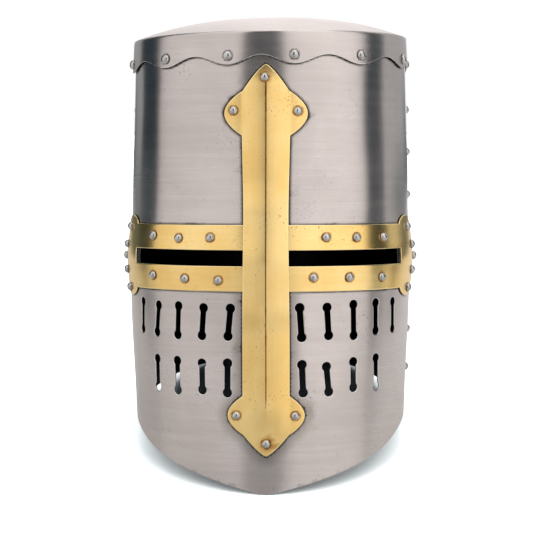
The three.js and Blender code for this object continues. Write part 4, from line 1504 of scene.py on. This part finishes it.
@dataclass
class Rivets:
    """Domed rivet heads outside, and their hammered ends inside.

    A head is turned about the wall's normal: its profile has (distance / radius)^2.3 + (height / rise)^2 = 1,
    and its foot runs a little into the plate. A hammered end is a low dome of the same kind.
    """

    crown: Crown
    cross: Cross
    radius: float = 3.6
    crown_radius: float = 4.0
    rise: float = 3.3
    fullness: float = 2.3
    sides: int = 28
    rows: int = 12
    sunk: float = 0.45
    foot_share: float = 0.04
    wobble: tuple[float, float] = (0.018, 0.012)
    foot_shade_height: float = 0.9
    tail_radius: float = 3.1
    tail_rise: float = 1.1
    upright: tuple[tuple[float, float], ...] = (
        (-0.9, 140.8),
        (-25.5, 115.1),
        (24.8, 114.6),
        (-23.5, -123.6),
        (23, -123.8),
        (0, -145.9),
    )
    arm: dict[Side, list[tuple[float, float]]] = field(
        default_factory=lambda: {
            Side.RIGHT: [(-52.2, 17), (-38.2, 15.4), (-23.5, 16.2), (-52, -14.8), (-35, -16.4), (-20, -17.2)],
            Side.LEFT: [(25.3, 16.4), (38.9, 16.1), (53, 15.8), (19.8, -14.8), (35.3, -15.2), (51.7, -15.9)],
        }
    )
    tips: tuple[tuple[float, float], ...] = ((74, 23.5), (80, 8.5), (80, -12.5), (74, -26.5), (87.6, -1.5))
    seam_angles: dict[Side, float] = field(default_factory=lambda: {Side.RIGHT: -99.0, Side.LEFT: 97.0})
    seam_heights: tuple[float, ...] = (121, 85.5, 49.5, -64.5, -97)
    back_angles: tuple[float, ...] = (112, 131, 152, 170, 190, 208, 229, 248)
    back_height: float = 4.0

    def wall_places(self) -> Array:
        """Angle and height of the rivets that sit on the plates themselves."""
        seams = [(self.seam_angles[side], height) for side in Side for height in self.seam_heights]
        return np.array([*seams, *((angle, self.back_height) for angle in self.back_angles)])

    def dome(
        self, angle: float, height: float, offset: float, radius: float, rise: float, out: float
    ) -> tuple[Array, Array]:
        """Points and stain of a dome on the wall, facing out (1) or in (-1): tarnish with painted shade at
        its foot.

        Args:
            angle: Degrees from the front.
            height: Height above the slit.
            offset: Offset from the wall of the face that the dome sits on.
            radius: Radius at the foot.
            rise: Height of the dome.
            out: 1 for a head outside and -1 for an end inside.

        Returns:
            The points, ring by ring from the sunk foot to the top, and their share of tarnish and painted
            shade.
        """
        share = np.sin(np.linspace(0, 1, self.rows + 1)[:-1] * math.pi / 2)
        reach = (1 - share**2) ** (1 / self.fullness)
        rings = np.concatenate([[1.0, 1.0], reach])
        raised = rise * (self.foot_share + (1 - self.foot_share) * share)
        levels = np.concatenate([[-self.sunk, 0.0], raised])
        turn = np.arange(self.sides) * 2 * math.pi / self.sides
        normal = WALL.normal(angle, height, offset) * out
        side = np.cross([0.0, 0.0, 1.0], normal)
        side /= np.linalg.norm(side)
        up = np.cross(normal, side)
        oval, three = self.wobble
        wobble = 1 + oval * np.sin(2 * turn + angle) + three * np.sin(3 * turn + height)
        ring = np.cos(turn)[:, None] * side + np.sin(turn)[:, None] * up
        base = WALL.point(angle, height, offset)
        spread = radius * rings[:, None, None] * (wobble[:, None] * ring)[None]
        points = base + spread + levels[:, None, None] * normal
        top = base + rise * normal
        # Darkest at the foot, where the head meets the plate: tarnish with painted contact shade.
        joint_shade = np.exp(-np.square(levels / self.foot_shade_height))
        stain_and_painted_shade = np.concatenate([np.repeat(joint_shade, self.sides), [0.0]])
        return np.concatenate([points.reshape(-1, 3), [top]]), stain_and_painted_shade

    def faces(self, rings: int) -> tuple[Array, Array]:
        """Faces of one dome: quads between its rings, a fan at its top and a fan that closes its foot."""
        n = self.sides
        i = np.arange(n)
        after = np.roll(i, -1)
        quads = np.concatenate(
            [
                np.stack([k * n + i, k * n + after, (k + 1) * n + after, (k + 1) * n + i], axis=1)
                for k in range(rings - 1)
            ]
        )
        last = (rings - 1) * n
        top = np.stack([last + i, last + after, np.full(n, rings * n)], axis=1)
        foot = np.stack([np.zeros(n - 2, int), i[2:], i[1:-1]], axis=1)
        return np.concatenate([top, foot]), quads

    def body(self, parts: list[tuple[Array, Array]], inner: float) -> MeshData:
        """Joins domes into one mesh, inside the helm (1) or outside (0)."""
        size = len(parts[0][0])
        rings = (size - 1) // self.sides
        triangles, quads = self.faces(rings)
        starts = np.arange(len(parts)) * size
        points = np.concatenate([p for p, _ in parts])
        stain_and_painted_shade = np.concatenate([s for _, s in parts])
        wrap = np.stack([points[:, 0] + points[:, 1], points[:, 2]], axis=1)
        return MeshData(
            points,
            (triangles[None] + starts[:, None, None]).reshape(-1, 3),
            (quads[None] + starts[:, None, None]).reshape(-1, 4),
            wrap,
            np.zeros(len(points)),
            np.full(len(points), inner),
            stain_and_painted_shade,
        )

    def inside_offset(self, angle: float, height: float) -> float:
        """Offset of the innermost face of the steel at a place."""
        p = self.cross.plates
        away = abs(angle if angle <= HALF_TURN else angle - FULL_TURN)
        deeper = -WALL.lap - WALL.steel
        if away >= p.back_start:
            return deeper - (WALL.lap if p.joggle_foot < height < p.ear_top else 0.0)
        if p.slit_end < away < p.ear_end and p.joggle_top <= height < p.ear_top:
            return deeper
        return -WALL.steel

    def table(self) -> list[tuple[str, float, float, float, float]]:
        """Every rivet: its node, or nothing where it has none, its angle, height, seat and radius."""
        rows: list[tuple[str, float, float, float, float]] = []
        for i, angle in enumerate(self.crown.rivet_angles, 1):
            height = float(self.crown.rim(angle)) - self.crown.rivet_depth
            seat = float(self.crown.skirt_offset(self.crown.rivet_depth))
            rows.append((f"crown_rivet_{i:02d}", angle, height, seat, self.crown_radius))
        for i, (x, height) in enumerate(self.upright, 1):
            seat = float(self.cross.upright_offset(x, height)) + WALL.brass
            angle = float(WALL.front_angle(x, height, seat))
            rows.append((f"upright_rivet_{i:02d}", angle, height, seat, self.radius))
        on_brass = WALL.seat + WALL.brass
        for side in Side:
            name = side.name.lower()
            for i, (angle, height) in enumerate(self.arm[side], 1):
                rows.append((f"arm_rivet_{name}_{i:02d}", angle, height, on_brass, self.radius))
            for i, (angle, height) in enumerate(self.tips, 1):
                place = side.value * angle
                rows.append((f"tip_rivet_{name}_{i:02d}", place, height, on_brass, self.radius))
            for i, height in enumerate(self.seam_heights, 1):
                rows.append((f"seam_rivet_{name}_{i:02d}", self.seam_angles[side], height, 0.0, self.radius))
        for i, angle in enumerate(self.back_angles, 1):
            rows.append((f"back_rivet_{i:02d}", angle, self.back_height, -WALL.lap, self.radius))
        return rows

    def make(self, metal: bpy.types.Material) -> None:
        """Builds and dresses the heads, one piece each, and the ends inside as one piece."""
        nodes = set(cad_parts)
        ends = []
        for name, angle, height, seat, radius in self.table():
            head = self.body([self.dome(angle, height, seat, radius, self.rise, 1.0)], 0.0)
            replaced = (name,) if name in nodes else ()
            finish_piece(head.to_object(name + "_head"), Slot.RIVET, metal, *replaced)
            inner = self.inside_offset(angle, height)
            ends.append(self.dome(angle, height, inner, self.tail_radius, self.tail_rise, -1.0))
        finish_piece(self.body(ends, 1.0).to_object("rivet_ends"), Slot.RIVET, metal)


# Studio


@dataclass(frozen=True)
class Layer:
    """A patch of the studio's light, over the patches before it.

    Its mask is its share of the product of its windows on the direction's azimuth and elevation. Without
    an elevation it reaches from the ground to the top.
    """

    azimuth: Window
    elevation: Window | None
    colour: Colour
    share: float = 1.0

    def over(self, g: Graph, colour: object, azimuth: object, elevation: object) -> bpy.types.NodeSocket:
        """Lays the patch over a colour.

        Args:
            g: The graph that takes the nodes.
            colour: The colour so far.
            azimuth: The direction's azimuth in degrees.
            elevation: The direction's elevation in degrees.

        Returns:
            The new colour.
        """
        mask = g.window(azimuth, self.azimuth)
        if self.elevation:
            mask = g.math("MULTIPLY", mask, g.window(elevation, self.elevation))
        if self.share < 1.0:
            mask = g.math("MULTIPLY", mask, self.share)
        return g.mix(mask, colour, self.colour)


GAP_ELEVATION: Window = (-40.0, -30.0, 48.0, 58.0)
LOW_ELEVATION: Window = (-33.0, -30.0, -13.0, -10.0)
LEFT_SIDE: Window = (-168.0, -160.0, -118.0, -110.0)
RIGHT_SIDE: Window = (96.0, 104.0, 160.0, 168.0)
FRONT: Window = (-60.0, -12.0, 8.0, 24.0)
GAP_COLOUR: Colour = (0.022, 0.042, 0.058, 1)
LOW_COLOUR: Colour = (0.09, 0.12, 0.13, 1)
FRONT_COLOUR: Colour = (0.3, 0.32, 0.33, 1)
LAYERS = (
    Layer(LEFT_SIDE, None, (0.55, 0.57, 0.58, 1)),
    Layer(RIGHT_SIDE, None, (0.74, 0.75, 0.76, 1)),
    Layer(LEFT_SIDE, LOW_ELEVATION, LOW_COLOUR),
    Layer(RIGHT_SIDE, LOW_ELEVATION, LOW_COLOUR),
    Layer((-134.0, -129.0, -101.0, -96.0), GAP_ELEVATION, GAP_COLOUR),
    Layer((78.0, 83.0, 102.0, 107.0), GAP_ELEVATION, GAP_COLOUR),
    Layer(FRONT, (-16.0, -10.0, 16.0, 22.0), FRONT_COLOUR, 0.35),
    Layer((-20.0, -14.0, 7.0, 12.0), (6.0, 14.0, 60.0, 68.0), (0.02, 0.035, 0.045, 1)),
)


@dataclass
class Studio:
    """Camera, floor and the light of a white studio with dark gaps between its soft panels.

    The camera stands in front of the helm, a little to its left and above it, and looks down. Its place and
    direction are given in the upright helm, and lean with it. The floor's sizes are in metres.
    """

    distance: float = 1350.0
    camera_height: float = 57.2
    yaw_degrees: float = 2.0
    sideways: float = -3.2
    focal_pixels: float = 1600.0
    pitch_pixels: float = 81.5
    image_pixels: float = 533.0
    sensor_mm: float = 36.0
    clip_start: float = 0.05
    floor_sides: float = 1.3
    floor_front: float = -2.4
    floor_back: float = 0.9
    floor_turn: float = 0.5
    floor_left_painted_shade: Colour = (0.7, 0.7, 0.69, 1)
    floor_right_painted_light: Colour = (0.88, 0.88, 0.87, 1)
    floor_behind_painted_shade: Colour = (0.1, 0.13, 0.14, 1)
    behind_azimuth: tuple[float, float] = (93.0, 101.0)
    behind_reach: tuple[float, float] = (0.6, 0.8)
    front_painted_shade_share: float = 0.34
    shade_half_width: float = 0.1
    shade_half_depth: float = 0.14
    shade_span: tuple[float, float] = (0.85, 1.05)
    shade_colour: Colour = (0.3, 0.36, 0.38, 1)
    floor_seen: Colour = (1.9, 2.02, 2.05, 1)
    left_light: Colour = (1.0, 0.99, 0.99, 1)
    right_light: Colour = (1.26, 1.24, 1.23, 1)
    light_turn: float = 70.0
    rear_light: Colour = (1.34, 1.32, 1.32, 1)
    rear_azimuth: tuple[float, float] = (160.0, 172.0)
    low_strength: tuple[float, ...] = (-2.0, 16.0, 0.85, 1.0)
    high_strength: tuple[float, ...] = (30.0, 65.0, 0.0, 0.35)

    def camera(self) -> None:
        """Places the camera."""
        yaw = math.radians(self.yaw_degrees)
        pitch = math.atan(self.pitch_pixels / self.focal_pixels)
        right = np.array([math.cos(yaw), math.sin(yaw), 0.0])
        level = np.array([-math.sin(yaw), math.cos(yaw), 0.0])
        forward = level * math.cos(pitch) - np.array([0.0, 0.0, math.sin(pitch)])
        up = np.cross(right, forward)
        place = -self.distance * level + self.sideways * right + [0.0, 0.0, self.camera_height]
        stood = WALL.stand(np.stack([place, place + right, place + up, place - forward]))
        axes = (stood[1:] - stood[0]) / MM
        data = bpy.data.cameras.new("camera")
        data.sensor_width = self.sensor_mm
        data.lens = self.focal_pixels / self.image_pixels * self.sensor_mm
        data.clip_start = self.clip_start
        camera = bpy.data.objects.new("camera", data)
        matrix = np.eye(4)
        matrix[:3, :3] = axes.T
        matrix[:3, 3] = stood[0]
        camera.matrix_world = Matrix(matrix.tolist())
        bpy.context.scene.collection.objects.link(camera)
        bpy.context.scene.camera = camera

    @staticmethod
    def azimuth(g: Graph, axis: bpy.types.Node) -> bpy.types.NodeSocket:
        """Degrees from the front, positive towards +X, of a place or direction split into its axes."""
        ahead = g.math("MULTIPLY", axis.outputs[1], -1.0)
        return g.math("DEGREES", g.math("ARCTAN2", axis.outputs[0], ahead))

    @staticmethod
    def length(g: Graph, vector: object) -> bpy.types.NodeSocket:
        """Length of a vector."""
        return g.add("ShaderNodeVectorMath", {0: vector}, operation="LENGTH").outputs["Value"]

    def floor(self) -> None:
        """A pale floor, white to the camera apart from the shadow on it and a painted shadow on the ground
        under the helm. Seen only in the metal, it carries painted shade: darker on the left, in front and far
        behind at the sides.
        """
        side, front, back = self.floor_sides, self.floor_front, self.floor_back
        corners = [(-side, front, 0), (side, front, 0), (side, back, 0), (-side, back, 0)]
        mesh = bpy.data.meshes.new("floor")
        mesh.from_pydata(corners, [], [(0, 1, 2, 3)])
        made = bpy.data.materials.new("floor_white")
        made.use_nodes = True
        made.node_tree.nodes.clear()
        g = Graph(made.node_tree)
        place = g.add("ShaderNodeTexCoord").outputs["Object"]
        axis = g.add("ShaderNodeSeparateXYZ", {0: place})
        azimuth = self.azimuth(g, axis)
        # Painted shade seen only in the metal: the floor darker on the left and lighter on the right.
        across = g.span(axis.outputs[0], -self.floor_turn, self.floor_turn)
        colour = g.mix(across, self.floor_left_painted_shade, self.floor_right_painted_light)
        # Painted shade seen only in the metal: the floor dark far behind at the sides.
        turned = g.span(g.math("ABSOLUTE", azimuth), *self.behind_azimuth)
        far = g.span(self.length(g, place), *self.behind_reach)
        colour = g.mix(g.math("MULTIPLY", turned, far), colour, self.floor_behind_painted_shade)
        # Painted shade seen only in the metal: the floor darker in front of the helm.
        middle = g.math("MULTIPLY", g.window(azimuth, FRONT), self.front_painted_shade_share)
        colour = g.mix(middle, colour, FRONT_COLOUR)
        plain = g.add("ShaderNodeBsdfDiffuse", {"Color": colour})
        # Painted shadow: the camera sees the ground under the helm darkened to the shade colour.
        flat = g.scaled(place, (1 / self.shade_half_width, 1 / self.shade_half_depth, 0.0))
        outside = g.span(self.length(g, flat), *self.shade_span)
        bright = g.add("ShaderNodeBsdfDiffuse", {"Color": g.mix(outside, self.shade_colour, self.floor_seen)})
        seen = g.add("ShaderNodeLightPath").outputs["Is Camera Ray"]
        shader = g.add("ShaderNodeMixShader", {0: seen, 1: plain.outputs[0], 2: bright.outputs[0]})
        g.add("ShaderNodeOutputMaterial", {"Surface": shader.outputs[0]})
        mesh.materials.append(made)
        floor = bpy.data.objects.new("floor", mesh)
        bpy.context.scene.collection.objects.link(floor)

    def light(self) -> None:
        """White panels all round, with the darker layers over them, stronger towards the top."""
        world = bpy.data.worlds.new("studio")
        world.use_nodes = True
        world.node_tree.nodes.clear()
        g = Graph(world.node_tree)
        way = g.add("ShaderNodeTexCoord").outputs["Generated"]
        axis = g.add("ShaderNodeSeparateXYZ", {0: way})
        azimuth = self.azimuth(g, axis)
        elevation = g.math("DEGREES", g.math("ARCSINE", axis.outputs[2]))
        across = g.span(azimuth, -self.light_turn, self.light_turn)
        colour = g.mix(across, self.left_light, self.right_light)
        rear = g.span(g.math("ABSOLUTE", azimuth), *self.rear_azimuth)
        colour = g.mix(rear, colour, self.rear_light)
        for layer in LAYERS:
            colour = layer.over(g, colour, azimuth, elevation)
        low = g.span(elevation, *self.low_strength)
        strength = g.math("ADD", low, g.span(elevation, *self.high_strength))
        lamp = g.add("ShaderNodeBackground", {"Color": colour, "Strength": strength})
        white = g.add("ShaderNodeBackground", {"Color": (1, 1, 1, 1), "Strength": 1.0})
        seen = g.add("ShaderNodeLightPath").outputs["Is Camera Ray"]
        shader = g.add("ShaderNodeMixShader", {0: seen, 1: lamp.outputs[0], 2: white.outputs[0]})
        g.add("ShaderNodeOutputWorld", {"Surface": shader.outputs[0]})
        bpy.context.scene.world = world

    def make(self) -> None:
        """Sets the studio up."""
        bpy.context.scene.view_settings.view_transform = "Standard"
        self.camera()
        self.floor()
        self.light()


def main() -> None:
    """Builds the helm, piece by piece, and the studio round it."""
    logging.basicConfig(level=logging.INFO, format="%(name)s %(message)s")
    effects = Effects()
    steel = STEEL.material(effects)
    brass = BRASS.material(effects)
    metal = RIVET.material(effects)
    Studio().make()
    crown = Crown()
    plates = Plates(crown)
    cross = Cross(plates)
    rivets = Rivets(crown, cross)
    crown.make(steel)
    lines = np.concatenate([crown.skirt_line(), plates.lap_lines(), cross.arm_points()])
    plates.make(steel, Marks(lines, cross.bar_points(), rivets.wall_places()))
    cross.make(brass, rivets)
    rivets.make(metal)


if __name__ == "__main__":
    main()
